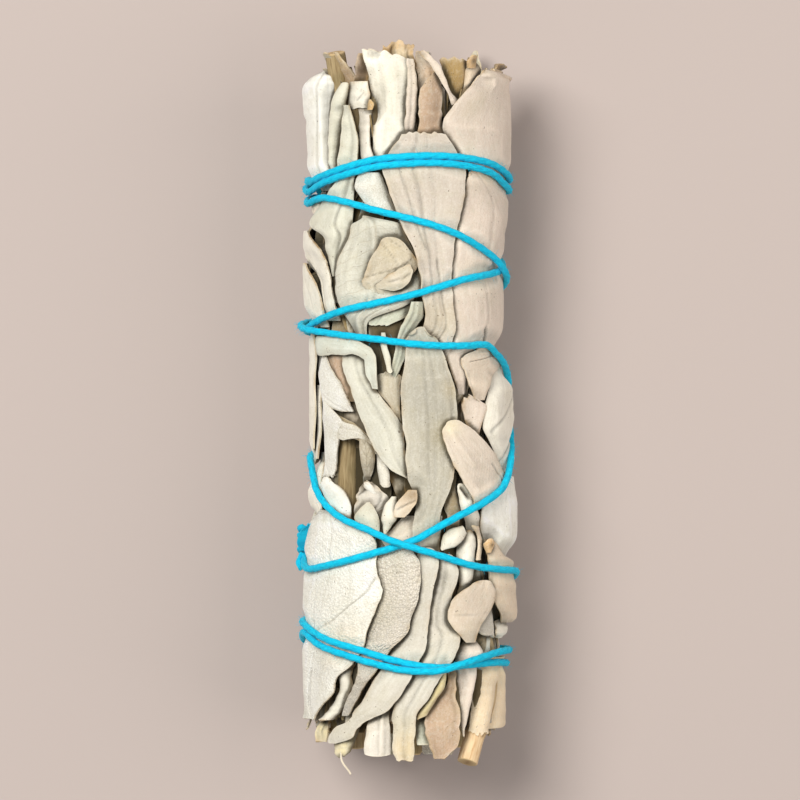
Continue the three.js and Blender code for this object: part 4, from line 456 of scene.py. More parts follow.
    leaf("cream_curl", [[-32.9, 13, 13.9], [-31.7, 13.1, 15], [-30.1, 14, 15.2]], hue="cream", roll=50,
        rim=1, arch=0.6, tip=("round", 0.5), root=("round", 0.3)),
    leaf("narrow_right", [[-30.8, 14.4, 15.6], [-28.4, 12.9, 15.6], [-25.9, 11.9, 15.6],
        [-23.2, 11.7, 15.6], [-21, 11.3, 14.2], [-19, 10.8, 12.3]], hue="peach", roll=50, arch=0.6,
        rim=0.9),
    leaf("gold_curl", [[-20.9, 11.1, 11.9], [-19.8, 10.8, 12.3], [-18.9, 11, 12.1]], hue="gold_light",
        roll=60, rim=1, arch=0.7, tip=("round", 0.5), stains=[(0.6, 0.55, 0.4, "#5a4526", 0.9)]),
    leaf("shield", [[-33.4, 8.1, 9.6], [-31.4, 6.4, 10], [-30, 5.6, 11], [-28, 6, 12.1], [-26.2, 7.5, 12.4],
        [-24.7, 9.4, 11.9]], hue="suede_light", roll=14, arch=0.5, rim=1, tip=("round", 0.4),
        lines=[(0.1, 0.42, 0.9, 0.46, -0.06, 0.12)]),
]
print(len(PLACED_LEAVES), "leaves placed one by one")

# %% [markdown]
# ## Laying leaves over one another
# Pressed leaves lie on each other the way cloth lies on a table laid with things. A height map round
# the bundle keeps how high it has grown so far. A new leaf starts taut above all that is under it and
# is let down in small steps, never lower than what it touches, so it spans the dips and follows the
# bumps. Its own rolled or folded form is added, and the map grows, so the leaves keep their order.

# %% The height map
CELL = 0.25
COLUMNS = round(TURN * TOP_RADIUS / CELL)
MAP_START = -56.0
ROWS = round(-2 * MAP_START / CELL)
height_map = np.full((ROWS, COLUMNS), CORE_RADIUS)


def cells(s, y):
    column = np.floor(s / (TURN * TOP_RADIUS) * COLUMNS).astype(int) % COLUMNS
    row = np.clip(np.floor((y - MAP_START) / CELL).astype(int), 0, ROWS - 1)
    return row, column


def highest_near(grid, reach):
    """Each cell's highest neighbour within reach cells, round the bundle and along it."""
    out = grid
    for _ in range(reach):
        rows = np.pad(out, ((1, 1), (0, 0)), mode="edge")
        out = np.maximum(out, np.maximum(rows[:-2], rows[2:]))
        out = np.maximum(out, np.maximum(np.roll(out, 1, axis=1), np.roll(out, -1, axis=1)))
    return out


def blurred(grid, times):
    out = grid
    for _ in range(times):
        rows = np.pad(out, ((1, 1), (0, 0)), mode="edge")
        out = (rows[:-2] + 2 * out + rows[2:]) / 4
        out = (np.roll(out, 1, axis=1) + 2 * out + np.roll(out, -1, axis=1)) / 4
    return out


def relaxed(floor, start, steps):
    """Lets a taut sheet down from start, never below floor."""
    sheet = start
    for _ in range(steps):
        wide = np.pad(sheet, 1, mode="edge")
        mean = (wide[:-2, 1:-1] + wide[2:, 1:-1] + wide[1:-1, :-2] + wide[1:-1, 2:]) / 4
        sheet = np.maximum(floor, mean)
    return sheet


def read_grid(grid, s, y):
    """A grid's value between its cells."""
    column = (s / (TURN * TOP_RADIUS) * COLUMNS - 0.5) % COLUMNS
    row = np.clip((y - MAP_START) / CELL - 0.5, 0, ROWS - 1.001)
    i, j = row.astype(int), column.astype(int) % COLUMNS
    v, u = row - i, column - np.floor(column)
    k = (j + 1) % COLUMNS
    return (
        (grid[i, j] * (1 - u) + grid[i, k] * u) * (1 - v)
        + (grid[i + 1, j] * (1 - u) + grid[i + 1, k] * u) * v
    )


def press_down(limit):
    """Presses everything laid so far to a limit, the same way at every height, so the order stays."""
    tall = np.maximum(blurred(highest_near(height_map, 6), 24), CORE_RADIUS + 0.3)
    share = np.minimum(1, (limit - CORE_RADIUS) / (tall - CORE_RADIUS))
    height_map[:] = CORE_RADIUS + (height_map - CORE_RADIUS) * share
    for item in laid_leaves:
        item["radius"] = CORE_RADIUS + (item["radius"] - CORE_RADIUS) * read_grid(share, item["s"], item["y"])


grid_angle, grid_y = np.meshgrid((np.arange(COLUMNS) + 0.5) / COLUMNS * TURN,
                                 MAP_START + (np.arange(ROWS) + 0.5) * CELL)
skin = above_ground(bundle_radius(grid_angle, grid_y), grid_angle, 0.03)
laid_leaves = []
print("height map of", ROWS, "by", COLUMNS, "cells")

# %% The shape of one leaf
SPACING = 0.33  # mm between the points of a leaf that faces up
LEAF_THICKNESS = 0.25
LAYER_GAP = 0.05
MOST_ROLL = 105  # degrees, each side
ARCH_MORE = 1.2  # how many times as tall the arch is as the table says
FULL_ARCH_ROLL = 46  # degrees; a leaf that has rolled less is arched less
CREASE_GAP = 2.8  # mm of a leaf's width for each crease
FINE_WRINKLE = 0.012
LOOKS = {
    "hue": "cream", "roll": 20, "arch": 0.6, "folds": [], "root": ("cut", 0.0), "tip": ("cut", 0.0),
    "rim": 0.3, "edge": 0.1, "wrinkle": 0.022, "lift": 0.0, "felt": 0.0, "veins": 0.0, "pebble": 0.0,
    # The look that is 1.0 at the start of the next line scales how much painted shade a leaf takes deep in
    # the bundle and under its neighbours
    "dust": 1.0, "thick": LEAF_THICKNESS, "spacing": SPACING, "lowest": 13.0, "sink": 0.5, "wave": 0.14,
    "creases": -1, "lines": [], "stains": [], "proud": 0.0,
}


def leaf_outline(rungs):
    """The two edges of a leaf, unrolled, and how far along it each rung is."""
    if isinstance(rungs, np.ndarray):
        left, right = rungs[:, 0], rungs[:, 1]
    else:
        ends = np.array([r if len(r) == 4 else [r[1], r[0], r[2], r[0]] for r in rungs], float)
        left, right = unroll(ends[:, 0], ends[:, 1], -1), unroll(ends[:, 2], ends[:, 3], 1)
    middle = (left + right) / 2
    steps = np.linalg.norm(np.diff(middle, axis=0), axis=1)
    return left, right, np.concatenate([[0], np.cumsum(np.maximum(steps, 0.05))])


def end_shift(kind, amount, across, width, salt):
    """How far each point of a leaf's end is drawn back by its rounding, or torn."""
    rounding = amount * np.abs(across) ** 2.4
    if kind == "torn":
        rough = (noise(across * width / 1.6, across * 0, salt)
                 + 0.6 * noise(across * width / 0.6, 0 * across, salt + 1))
        return amount * (0.5 * np.abs(across) ** 3 + 0.5 * rough)
    return rounding if kind == "round" else amount * noise(across * width / 2, 0 * across, salt)


def shape_leaf(spec):
    """A leaf's points: mm round the bundle, mm along it and the height of its own form."""
    look = {**LOOKS, **spec}
    salt = len(laid_leaves)
    left, right, knots = leaf_outline(look["rungs"])
    length = knots[-1]
    widest = np.linalg.norm(right - left, axis=1).max()
    rows = max(8, math.ceil(length / look["spacing"]) + 1)
    half_turn = math.radians(min(abs(look["roll"]), MOST_ROLL))
    girth = widest * half_turn / math.sin(min(half_turn, math.pi / 2))
    columns = max(7, math.ceil(girth / look["spacing"]) + 1)
    along = np.linspace(0, length, rows)
    left, right = curve_through(knots, left, along), curve_through(knots, right, along)
    for side, edge in ((-1, left), (1, right)):
        wavy = look["edge"] * (noise(along / 1.7, 0 * along, salt + side)
                               + 0.8 * noise(along / 0.7, 0 * along, salt))
        # edge is the array left or right itself, so this moves it
        edge += side * wavy[:, None] * (right - left) / np.linalg.norm(right - left, axis=1)[:, None]
    middle, half = (left + right) / 2, (right - left) / 2
    width = 2 * np.linalg.norm(half, axis=1)
    across = np.linspace(-1, 1, columns)
    sideways = np.sin(half_turn * across) / math.sin(min(half_turn, math.pi / 2))
    place = middle[:, None, :] + half[:, None, :] * sideways[None, :, None]
    forward = np.gradient(middle, axis=0)
    forward /= np.linalg.norm(forward, axis=1)[:, None] + 1e-9
    reach = min(2.5, length * 0.35)
    for end, near in (("root", along), ("tip", length - along)):
        kind, amount = look[end]
        shift = end_shift(kind, amount, across, widest, salt)
        fade = smooth_step(1 - near / reach)
        back = 1 if end == "root" else -1
        place += (back * fade[:, None] * shift[None, :])[..., None] * forward[:, None, :]
    arc = (np.cos(half_turn * across) - math.cos(half_turn)) / math.sin(min(half_turn, math.pi / 2))
    if look["roll"] < 0:
        arc = arc.max() - arc
    flatness = min(1, abs(look["roll"]) / FULL_ARCH_ROLL)
    form = min(look["arch"] * ARCH_MORE, 1.0) * flatness * (width / 2)[:, None] * arc[None, :]
    for spot, tall, wide in look["folds"]:
        wander = spot + 0.04 * noise(along / 6, 0 * along, salt + 5)
        off = ((across[None, :] + 1) / 2 - wander[:, None]) * width[:, None] / wide
        form = form + tall * np.exp(-off * off)
    far_across = across[None, :] * width[:, None] / 2
    groove = np.zeros(form.shape)
    for u0, v0, u1, v1, tall, wide in look["lines"]:
        run_x, run_y = (u1 - u0) * widest, (v1 - v0) * length
        off_x = ((across[None, :] + 1) / 2 - u0) * width[:, None]
        off_y = (along / length - v0)[:, None] * length
        t = np.clip((off_x * run_x + off_y * run_y) / (run_x**2 + run_y**2), 0, 1)
        line = np.exp(-(((off_x - t * run_x) ** 2 + (off_y - t * run_y) ** 2) / wide**2))
        form = form + tall * line
        # A groove is kept as a mask, which is darkened later as painted shade
        if tall < 0:
            groove = np.maximum(groove, line * min(1, -tall * 4))
    draws = np.random.default_rng(salt + 400)
    for _ in range(look["creases"] if look["creases"] >= 0 else int(widest / CREASE_GAP)):
        spot, tall, wide = draws.uniform(0.08, 0.92), draws.uniform(-0.13, 0.05), draws.uniform(0.12, 0.35)
        centre, slant = draws.uniform(0, 1), draws.uniform(-0.25, 0.25)
        share = along / length
        off = ((across[None, :] + 1) / 2 - spot - slant * (share - centre)[:, None]) * width[:, None] / wide
        form = form + tall * np.exp(-off * off) * np.exp(-(((share - centre) / 0.35) ** 2))[:, None]
    for side in (-1, 1):
        lip = draws.uniform(-0.12, 0.26) * (0.6 + 0.8 * noise(along / 4, 0 * along, salt + side))
        off = (1 - side * across[None, :]) * width[:, None] / 2 / 0.45
        form = form + lip[:, None] * np.exp(-off * off)
    form = form + look["wrinkle"] * noise(far_across / 0.9, along[:, None] / 3.2, salt + 7)
    form = form + FINE_WRINKLE * noise(far_across / 0.45, along[:, None] / 1.3, salt + 9)
    form = form + look["wave"] * noise(far_across / 6, along[:, None] / 7, salt + 8)
    form = form + look["lift"] * smooth_step(along / length * 2 - 1)[:, None]
    edge_near = np.minimum((1 - np.abs(across))[None, :] * width[:, None] / 2, (length - along)[:, None])
    return look, place, form, edge_near, along, width, across, groove


print("a leaf's points are", SPACING, "mm apart")

# %% Laying one leaf
def sprig_of(s):
    """The number of the sprig that a leaf rooted at this place round the bundle belongs to."""
    return round(s / TOP_RADIUS / (TURN / SPRIGS_ROUND)) % SPRIGS_ROUND + 1


def lay(spec):
    look, place, form, edge_near, along, width, across, groove = shape_leaf(spec)
    s, y = place[..., 0], place[..., 1]
    row, column = cells(s, y)
    under = blurred(height_map, 1)[row, column]
    over = highest_near(height_map[::2, ::2], 4)
    start = over[np.minimum(row // 2, over.shape[0] - 1), np.minimum(column // 2, over.shape[1] - 1)]
    base = relaxed(np.maximum(under, look["lowest"]) + LAYER_GAP, start + LAYER_GAP,
                   20 + round(5 * width.max()))
    root = look["sink"] * (1 - smooth_step(along / 2.5))
    radius = base + look["thick"] + form - root[:, None]
    steps = 3
    fine = [(place[:-1, :-1], place[1:, :-1], place[:-1, 1:], place[1:, 1:]),
            (radius[:-1, :-1], radius[1:, :-1], radius[:-1, 1:], radius[1:, 1:])]
    for i in range(steps + 1):
        for j in range(steps + 1):
            u, v = i / steps, j / steps
            spot, top = [a * (1 - u) * (1 - v) + b * u * (1 - v) + c * (1 - u) * v + d * u * v
                         for a, b, c, d in fine]
            here = cells(spot[..., 0], spot[..., 1])
            np.maximum.at(height_map, here, top)
    laid_leaves.append({
        "look": look, "s": s, "y": y, "radius": radius, "edge": edge_near, "along": along,
        "width": width, "across": across, "groove": groove,
        "sprig": look.get("sprig") or sprig_of(float(s[0].mean())),
    })


print("laying is ready")

# %% [markdown]
# ## Leaves by rule
# What shows in the gaps, on the flanks and below are more leaves of the same kind, so they are laid by
# rule with seeded random draws: first a layer of darker inner leaves all round, then the leaves of the
# flanks and the underside. The leaves placed one by one come last.

# %% Lay all leaves
OUTLINE = [(0, 0.45), (0.12, 0.8), (0.35, 1.0), (0.7, 0.86), (0.9, 0.5), (1.0, 0.12)]  # along, width
INNER_TOP = 11.9  # mm from the axis to the top of each layer, once it is pressed
MIDDLE_TOP = 12.8
OUTER_TOP = 12.9
SPARE_HEIGHT = 0.35  # how far the last leaves may stand above the skin while they are laid


def drawn(low, high):
    return float(random.uniform(low, high))


def plain_leaf(turn, y, length, width, lean, **looks):
    """A leaf of plain outline in the middle of a place, leaning off the bundle's length."""
    s = math.radians(turn) * TOP_RADIUS
    bow = drawn(-0.08, 0.08) * length
    rungs = []
    for t, w in OUTLINE:
        centre = s + (t - 0.5) * length * math.tan(math.radians(lean)) + bow * 4 * t * (1 - t)
        half = width / 2 * w
        at = y + (t - 0.5) * length
        rungs.append([[centre - half, at], [centre + half, at]])
    lay({"name": "plain", "rungs": np.array(rungs), **looks})


def inner_leaves():
    for turn in range(0, 360, 15):
        for y in (-33, -11, 11, 33):
            hue = ["inner", "taupe", "olive", "inner_dark"][int(drawn(0, 4))]
            long = drawn(24, 34)
            middle = max(min(y + drawn(-4, 4), 45 - long / 2), long / 2 - 45)
            plain_leaf(turn + drawn(-6, 6), middle, math.copysign(long, drawn(-1, 1)),
                       drawn(3.5, 6.5), drawn(-8, 8), hue=hue, roll=drawn(25, 50), arch=0.35, lowest=0,
                       spacing=0.7, wrinkle=0.1)


def outer_leaves():
    hues = ["white", "cream", "green_white", "grey_white", "pink", "peach_white", "olive_white", "tan_cream"]
    for n, y in enumerate((-40, -20, 0, 20, 40, -30, -10, 10, 30)):
        for k in range(7):
            turn = 84 + 196 * (k + 0.5 * (n % 2)) / 7 + drawn(-8, 8)
            long = drawn(20, 38)
            end = 50 if 140 < turn < 215 else 46
            middle = max(min(y + drawn(-4, 4), end - long / 2), long / 2 - end)
            hue = hues[int(drawn(0, len(hues)))]
            plain_leaf(turn, middle, math.copysign(long, drawn(-0.6, 1)), drawn(5, 11), drawn(-13, 13),
                       hue=hue, roll=drawn(18, 60), arch=drawn(0.3, 0.6), rim=drawn(0.2, 1),
                       spacing=0.55, wrinkle=drawn(0.03, 0.1), edge=drawn(0.05, 0.2),
                       tip=("round", 0.6), folds=[(drawn(0.3, 0.7), drawn(-0.25, 0.25), 0.4)],
                       pebble=drawn(-1, 0.6))


def middle_leaves():
    """Leaves just below the uppermost ones, which close the gaps between them."""
    hues = ["cream", "olive_white", "tan_cream", "taupe", "green_white", "suede_light", "olive",
            "peach_white"]
    for n, y in enumerate(np.arange(-40, 41, 10)):
        for turn in range(-84 + 6 * (n % 2), 90, 14):
            long = drawn(14, 26)
            middle = max(min(y + drawn(-4, 4), 47 - long / 2), long / 2 - 46)
            hue = hues[int(drawn(0, len(hues)))]
            plain_leaf(turn + drawn(-5, 5), middle, math.copysign(long, drawn(-1, 1)), drawn(3, 6.5),
                       drawn(-14, 14), hue=hue, roll=drawn(30, 85), arch=drawn(0.4, 0.8),
                       rim=drawn(0.3, 1), lowest=INNER_TOP, spacing=0.5, wrinkle=0.08, edge=0.15,
                       folds=[(drawn(0.3, 0.7), drawn(-0.25, 0.2), 0.35)])


inner_leaves()
press_down(INNER_TOP)
middle_leaves()
press_down(MIDDLE_TOP)
outer_leaves()
press_down(np.where(np.cos(grid_angle) > 0.1, np.minimum(skin, OUTER_TOP), skin))
for n, spec in enumerate(PLACED_LEAVES):
    lay(spec)
    if n % 4 == 3:
        press_down(skin + SPARE_HEIGHT)
print(len(laid_leaves), "leaves laid; the bundle has grown to", round(float(height_map.max()), 1), "mm")

# %% [markdown]
# ## Where the string runs
# One length of string is wound nine times round the bundle and tied off at the left flank. Its route
# is repeated from the solid model, because the leaves are pressed by it. Where it passes over an
# earlier turn it rises in a low hump.

# %% The string's route
STRING_RADIUS = 0.51
STRING_STANDS_OUT = 0.36
STRAND_GAP = 0.98
HUMP = 4.4
STRING_TURNS = [
    [[-76, -23.2], [-49, -22.6], [-18, -20.8], [4, -19], [17, -17.2], [31, -15.4], [48, -13.5],
        [63, -11.6], [75, -8.8], [87, -5.6], [104, -1.2], [120, 2.6], [150, 6.4], [200, 8.4], [250, 9.8]],
    [[-82, 10.4], [-55, 11.9], [-37, 13], [-18, 13.9], [0, 14.9], [17, 16.1], [36, 17.3], [63, 18.2],
        [95, 19.4], [130, 21.8], [180, 24.8], [215, 26.6], [235, 28.9], [250, 30.9], [262, 31.4]],
    [[-80, 30.9], [-55, 31.9], [-37, 32.9], [-18, 33.9], [0, 34.3], [17, 34.4], [36, 34.1], [55, 33.4],
        [75, 32.1], [92, 31.4], [130, 31.7], [180, 31.6], [230, 30.9], [260, 30.2]],
    [[-80, 29.6], [-55, 30.9], [-37, 31.9], [-18, 32.9], [0, 33.3], [17, 33.4], [36, 33.0], [55, 32.1],
        [72, 30.6], [92, 29.9], [130, 30.2], [180, 30], [230, 29.3], [260, 28.6]],
    [[-80, 28], [-58, 28.7], [-37, 28], [-18, 26.8], [8, 25.2], [26, 23.8], [42, 22.2], [60, 20.2],
        [74, 18.2], [95, 16.6], [130, 14.8], [180, 13], [230, 11.8], [258, 11.3]],
    [[-86, 10.9], [-73, 10.4], [-55, 9.9], [-37, 9.4], [-18, 8.9], [0, 8.3], [17, 8], [36, 8], [55, 8.1],
        [67, 7], [80, 5.8], [100, 3.9], [130, -1], [160, -3.6], [220, -6.2], [255, -7.2]],
    [[-85, -8.1], [-67, -12.1], [-54, -14.3], [-40, -16.1], [-22, -17.7], [-9, -19.1], [4, -20.2],
        [17, -21.2], [36, -22.6], [55, -23.2], [90, -23.8], [130, -26.2], [180, -28.8], [230, -30.2],
        [258, -30.6]],
    [[-80, -31], [-49, -33.1], [-27, -34.4], [-9, -35.7], [8, -36.6], [21, -36.8], [36, -36.5],
        [63, -36.3], [95, -36.6], [130, -36.8], [180, -36.4], [230, -34.8], [258, -33.5]],
    [[-80, -32.2], [-55, -34], [-37, -35.1], [-18, -36.3], [0, -37.2], [17, -37.2], [26, -36.6],
        [42, -35.6], [64, -34.8], [95, -34.7], [130, -34.7], [180, -34.2], [212, -32.9], [232, -30.2],
        [247, -25]],
]
KNOT_TURN, KNOT_Y = math.radians(-99), -20.6
KNOT_ENDS = (-21.6, -19.6)


def smooth_path(points, pieces=12):
    """A curve through points in any number of dimensions, the way a cord lies (Catmull-Rom)."""
    points = np.asarray(points, float)
    ends = np.vstack([2 * points[0] - points[1], points, 2 * points[-1] - points[-2]])
    gaps = np.maximum(np.linalg.norm(np.diff(ends, axis=0), axis=1) ** 0.5, 1e-6)
    t = np.arange(pieces)[:, None] / pieces
    parts = []
    for i in range(len(points) - 1):
        a, b, c, d = ends[i:i + 4]
        before, gap, after = gaps[i:i + 3]
        leaving = ((b - a) / before - (c - a) / (before + gap) + (c - b) / gap) * gap
        arriving = ((c - b) / gap - (d - b) / (gap + after) + (d - c) / after) * gap
        parts.append((2 * t**3 - 3 * t**2 + 1) * b + (t**3 - 2 * t**2 + t) * leaving
                     + (3 * t**2 - 2 * t**3) * c + (t**3 - t**2) * arriving)
    return np.vstack(parts + [points[-1:]])


def evenly(path, step):
    """Points a step apart along a path."""
    along = np.concatenate([[0], np.cumsum(np.linalg.norm(np.diff(path, axis=0), axis=1))])
    at = np.linspace(0, along[-1], max(2, round(along[-1] / step) + 1))
    return np.stack([np.interp(at, along, path[:, k]) for k in range(path.shape[1])], axis=1)


def string_route():
    hand = [[KNOT_TURN, KNOT_ENDS[0]]]
    for n, turn in enumerate(STRING_TURNS):
        hand += [[math.radians(angle) + n * TURN, y] for angle, y in turn]
    hand.append([KNOT_TURN + TURN * len(STRING_TURNS), KNOT_ENDS[1]])
    flat = evenly(smooth_path(np.array(hand) * [TOP_RADIUS, 1]), 1)
    angle, y = flat[:, 0] / TOP_RADIUS, flat[:, 1]
    low = bundle_radius(angle, y) + STRING_STANDS_OUT - STRING_RADIUS
    low = above_ground(low, angle, STRING_RADIUS + FLOOR_GAP)
    radius, lift = low.copy(), np.zeros(len(low))
    most_of_a_turn = round(0.75 * TURN * TOP_RADIUS)
    for i in range(most_of_a_turn, len(flat)):
        earlier = slice(0, i - most_of_a_turn)
        apart = (angle[i] - angle[earlier] + math.pi) % TURN - math.pi
        d = np.hypot(apart * TOP_RADIUS, y[i] - y[earlier])
        close = d < STRAND_GAP
        if close.any():
            need = radius[earlier][close] + np.sqrt(STRAND_GAP**2 - d[close] ** 2) - radius[i]
            lift[i] = max(0, need.max())
        radius[i] += lift[i]
    away = (np.arange(len(flat))[:, None] - np.arange(len(flat))[None, :]) / HUMP
    hump = (lift[None, :] * np.exp(-away * away)).max(axis=1)
    return angle, y, above_ground(low + hump, angle, STRING_RADIUS + FLOOR_GAP)


string_angle, string_y, string_radius = string_route()
string_path = around(string_angle, string_y, string_radius)
string_length = np.linalg.norm(np.diff(string_path, axis=0), axis=1).sum()
print("the string is", round(string_length * 1000), "mm long on the bundle")

# %% [markdown]
# ## Pressing the bundle
# Tying squeezes the leaves: the stack is brought down, or let out, to the size of the real bundle, and
# pressed in further under each strand. Every leaf is moved by one and the same rule, which depends on
# the place and the height, so their order stays as it is. Only a leaf that stands proud is let out
# further than the rest, and the less so the nearer it comes to a strand.

# %% Press the leaves
STRING_REACH = 4.0  # mm from a strand within which it holds the leaves down
BULGE = 0.75  # how much higher they may stand there than right under it
BULGE_START, BULGE_WIDTH = 0.45, 2.4  # where beside a strand they start to rise, and over how much
STRING_CLEARANCE = 0.06
NO_LIMIT = 99.0


def distance_to_string(angle, y, reach):
    """Each cell's distance to the nearest strand, and how low that strand reaches, in mm."""
    distance = np.full(angle.shape, reach)
    bottom = np.full(angle.shape, NO_LIMIT)
    for a, at, r in zip(string_angle, string_y, string_radius):
        first = max(int((at - reach - MAP_START) / CELL), 0)
        last = min(int((at + reach - MAP_START) / CELL) + 1, ROWS)
        apart = ((angle[first:last] - a + math.pi) % TURN - math.pi) * TOP_RADIUS
        d = np.hypot(apart, y[first:last] - at)
        nearer = d < distance[first:last]
        distance[first:last][nearer] = d[nearer]
        bottom[first:last][nearer] = r - STRING_RADIUS
    return distance, bottom


tall = blurred(highest_near(height_map, 10), 60)
squeeze = np.clip((skin - CORE_RADIUS) / (tall - CORE_RADIUS), 0.7, 1.5)
squeeze_without_string = squeeze  # for the leaves that stand proud of the others
pressed_top = CORE_RADIUS + (height_map - CORE_RADIUS) * squeeze
string_distance, string_bottom = distance_to_string(grid_angle, grid_y, STRING_REACH)
bulge = BULGE * smooth_step((string_distance - BULGE_START) / BULGE_WIDTH)
room = string_bottom + STRING_CLEARANCE + bulge
room = np.minimum(np.where(string_distance < STRING_REACH - 0.1, room, NO_LIMIT), skin + 0.25)
top = np.maximum(blurred(highest_near(pressed_top, 1), 2), CORE_RADIUS + 0.5)
squeeze = blurred(squeeze * np.minimum(1, (room - CORE_RADIUS) / (top - CORE_RADIUS)), 1)
pressed = CORE_RADIUS + (height_map - CORE_RADIUS) * squeeze
# The smoothed top of the pressed leaves, and the highest leaf beside each cell: the painted shade deep in the
# bundle and under neighbours is worked out from them
surface = blurred(highest_near(pressed, 2), 12)
beside = blurred(highest_near(pressed, 1), 1)
print("pressed to", round(float(pressed.max()), 2), "mm from the axis")

# %% [markdown]
# ## Making sheets and tubes
# A leaf starts as a flat grid, the sheet that it is. Its points are put where the leaf lies, and the
# Solidify modifier gives it its thickness, with other materials for its back and its edge. A tube is
# the same grid rolled up, with its seam and its ends merged. Both keep an even UV map, close to
# millimetres, which the finer patterns follow.

# %% Sheets and tubes
def deselect():
    bpy.ops.object.select_all(action="DESELECT")


def add_sheet(name, points, attributes=None, size=(1, 1)):
    """A grid of rows by columns of points in metres, with values for each point."""
    rows, columns = points.shape[:2]
    deselect()
    bpy.ops.mesh.primitive_grid_add(x_subdivisions=columns - 1, y_subdivisions=rows - 1, size=1)
    sheet = bpy.context.object
    sheet.name = sheet.data.name = name
    mesh = sheet.data
    flat = np.empty(3 * len(mesh.vertices))
    mesh.vertices.foreach_get("co", flat)
    corners = flat.reshape(-1, 3) + 0.5
    column = np.rint(corners[:, 0] * (columns - 1)).astype(int)
    row = np.rint(corners[:, 1] * (rows - 1)).astype(int)
    mesh.vertices.foreach_set("co", points[row, column].ravel())
    for key, values in (attributes or {}).items():
        colour = values.ndim == 3
        layer = mesh.attributes.new(key, "FLOAT_COLOR" if colour else "FLOAT", "POINT")
        layer.data.foreach_set("color" if colour else "value", values[row, column].ravel())
    uv = np.empty(2 * len(mesh.loops))
    mesh.uv_layers[0].data.foreach_get("uv", uv)
    mesh.uv_layers[0].data.foreach_set("uv", (uv.reshape(-1, 2) * size).ravel())
    mesh.update()
    return sheet


def add_tube(name, points, attributes=None, size=(1, 1)):
    """Closed rings of points, the first and last of them drawn to a point, as one closed skin."""
    loop = np.concatenate([points, points[:, :1]], axis=1)
    looped = {key: np.concatenate([v, v[:, :1]], axis=1) for key, v in (attributes or {}).items()}
    tube = add_sheet(name, loop, looped, size)
    bpy.ops.object.mode_set(mode="EDIT")
    bpy.ops.mesh.select_all(action="SELECT")
    bpy.ops.mesh.remove_doubles(threshold=1e-7)
    bpy.ops.mesh.normals_make_consistent(inside=False)
    bpy.ops.object.mode_set(mode="OBJECT")
    return tube


def joined(pieces, name):
    deselect()
    for piece in pieces:
        piece.select_set(True)
    bpy.context.view_layer.objects.active = pieces[0]
    if len(pieces) > 1:
        bpy.ops.object.join()
    piece = bpy.context.object
    piece.name = piece.data.name = name
    return piece


def apply_modifier(piece, kind, **settings):
    deselect()
    piece.select_set(True)
    bpy.context.view_layer.objects.active = piece
    modifier = piece.modifiers.new(kind.title(), kind)
    for key, value in settings.items():
        setattr(modifier, key, value)
    bpy.ops.object.modifier_apply(modifier=modifier.name)


def rings(path, radii, sides, start=(0, 1, 0)):
    """Rings of points round a path in metres; radii in metres, one for each ring or each point."""
    forward = np.gradient(path, axis=0)
    forward /= np.linalg.norm(forward, axis=1)[:, None] + 1e-12
    side = np.cross(forward, np.broadcast_to(start, forward.shape))
    side /= np.linalg.norm(side, axis=1)[:, None] + 1e-12
    up = np.cross(side, forward)
    turn = np.arange(sides) / sides * TURN
    radii = np.broadcast_to(np.asarray(radii).reshape(len(path), -1), (len(path), sides))
    round_it = side[:, None] * np.cos(turn)[None, :, None] + up[:, None] * np.sin(turn)[None, :, None]
    return path[:, None] + round_it * radii[..., None]


print("sheet and tube makers ready")

# %% [markdown]
# ## Materials
# Every finish is worked out from noise and cell patterns at the real size in millimetres. One small
# function adds a node with its settings and its links.

# %% Node helper
def new_material(name):
    material = bpy.data.materials.new(name)
    material.use_nodes = True
    tree = material.node_tree
    shader = next(n for n in tree.nodes if n.type == "BSDF_PRINCIPLED")
    return material, tree, shader


def node(tree, kind, inputs=None, **settings):
    """Adds a node. An input is a value, or another node's output to link."""
    made = tree.nodes.new(kind)
    for key, value in settings.items():
        setattr(made, key, value)
    for key, value in (inputs or {}).items():
        if isinstance(value, bpy.types.NodeSocket):
            tree.links.new(value, made.inputs[key])
        else:
            made.inputs[key].default_value = value
    return made


def mixed(tree, factor, first, second):
    """A colour mixed from two; factor and colours are values or sockets."""
    inputs = {0: factor, 6: first, 7: second}
    return node(tree, "ShaderNodeMix", inputs, data_type="RGBA").outputs[2]


def maths(tree, operation, *values):
    inputs = dict(enumerate(values))
    return node(tree, "ShaderNodeMath", inputs, operation=operation).outputs[0]


def spread(tree, value, low, high):
    """Brings a value from low..high to 0..1."""
    return node(tree, "ShaderNodeMapRange", {0: value, 1: low, 2: high}).outputs[0]


def rgba(code):
    return (*linear(code), 1)


def per_mm(size):
    """The texture scale that gives features of a size in mm on coordinates in metres."""
    return 1 / (size * MM)


print("node helper ready")

# %% [markdown]
# ## Sage leaf
# White sage leaves are covered in a dense felt of tiny hairs, which makes them matt, pale and a little
# bright at grazing angles (sheen). Old felt is rubbed off at the rims, which show golden brown. Leaves
# carry small dark specks, a fine net of veins, and in places a pebbled surface like leather, whose
# grooves are drawn darker as painted shade.

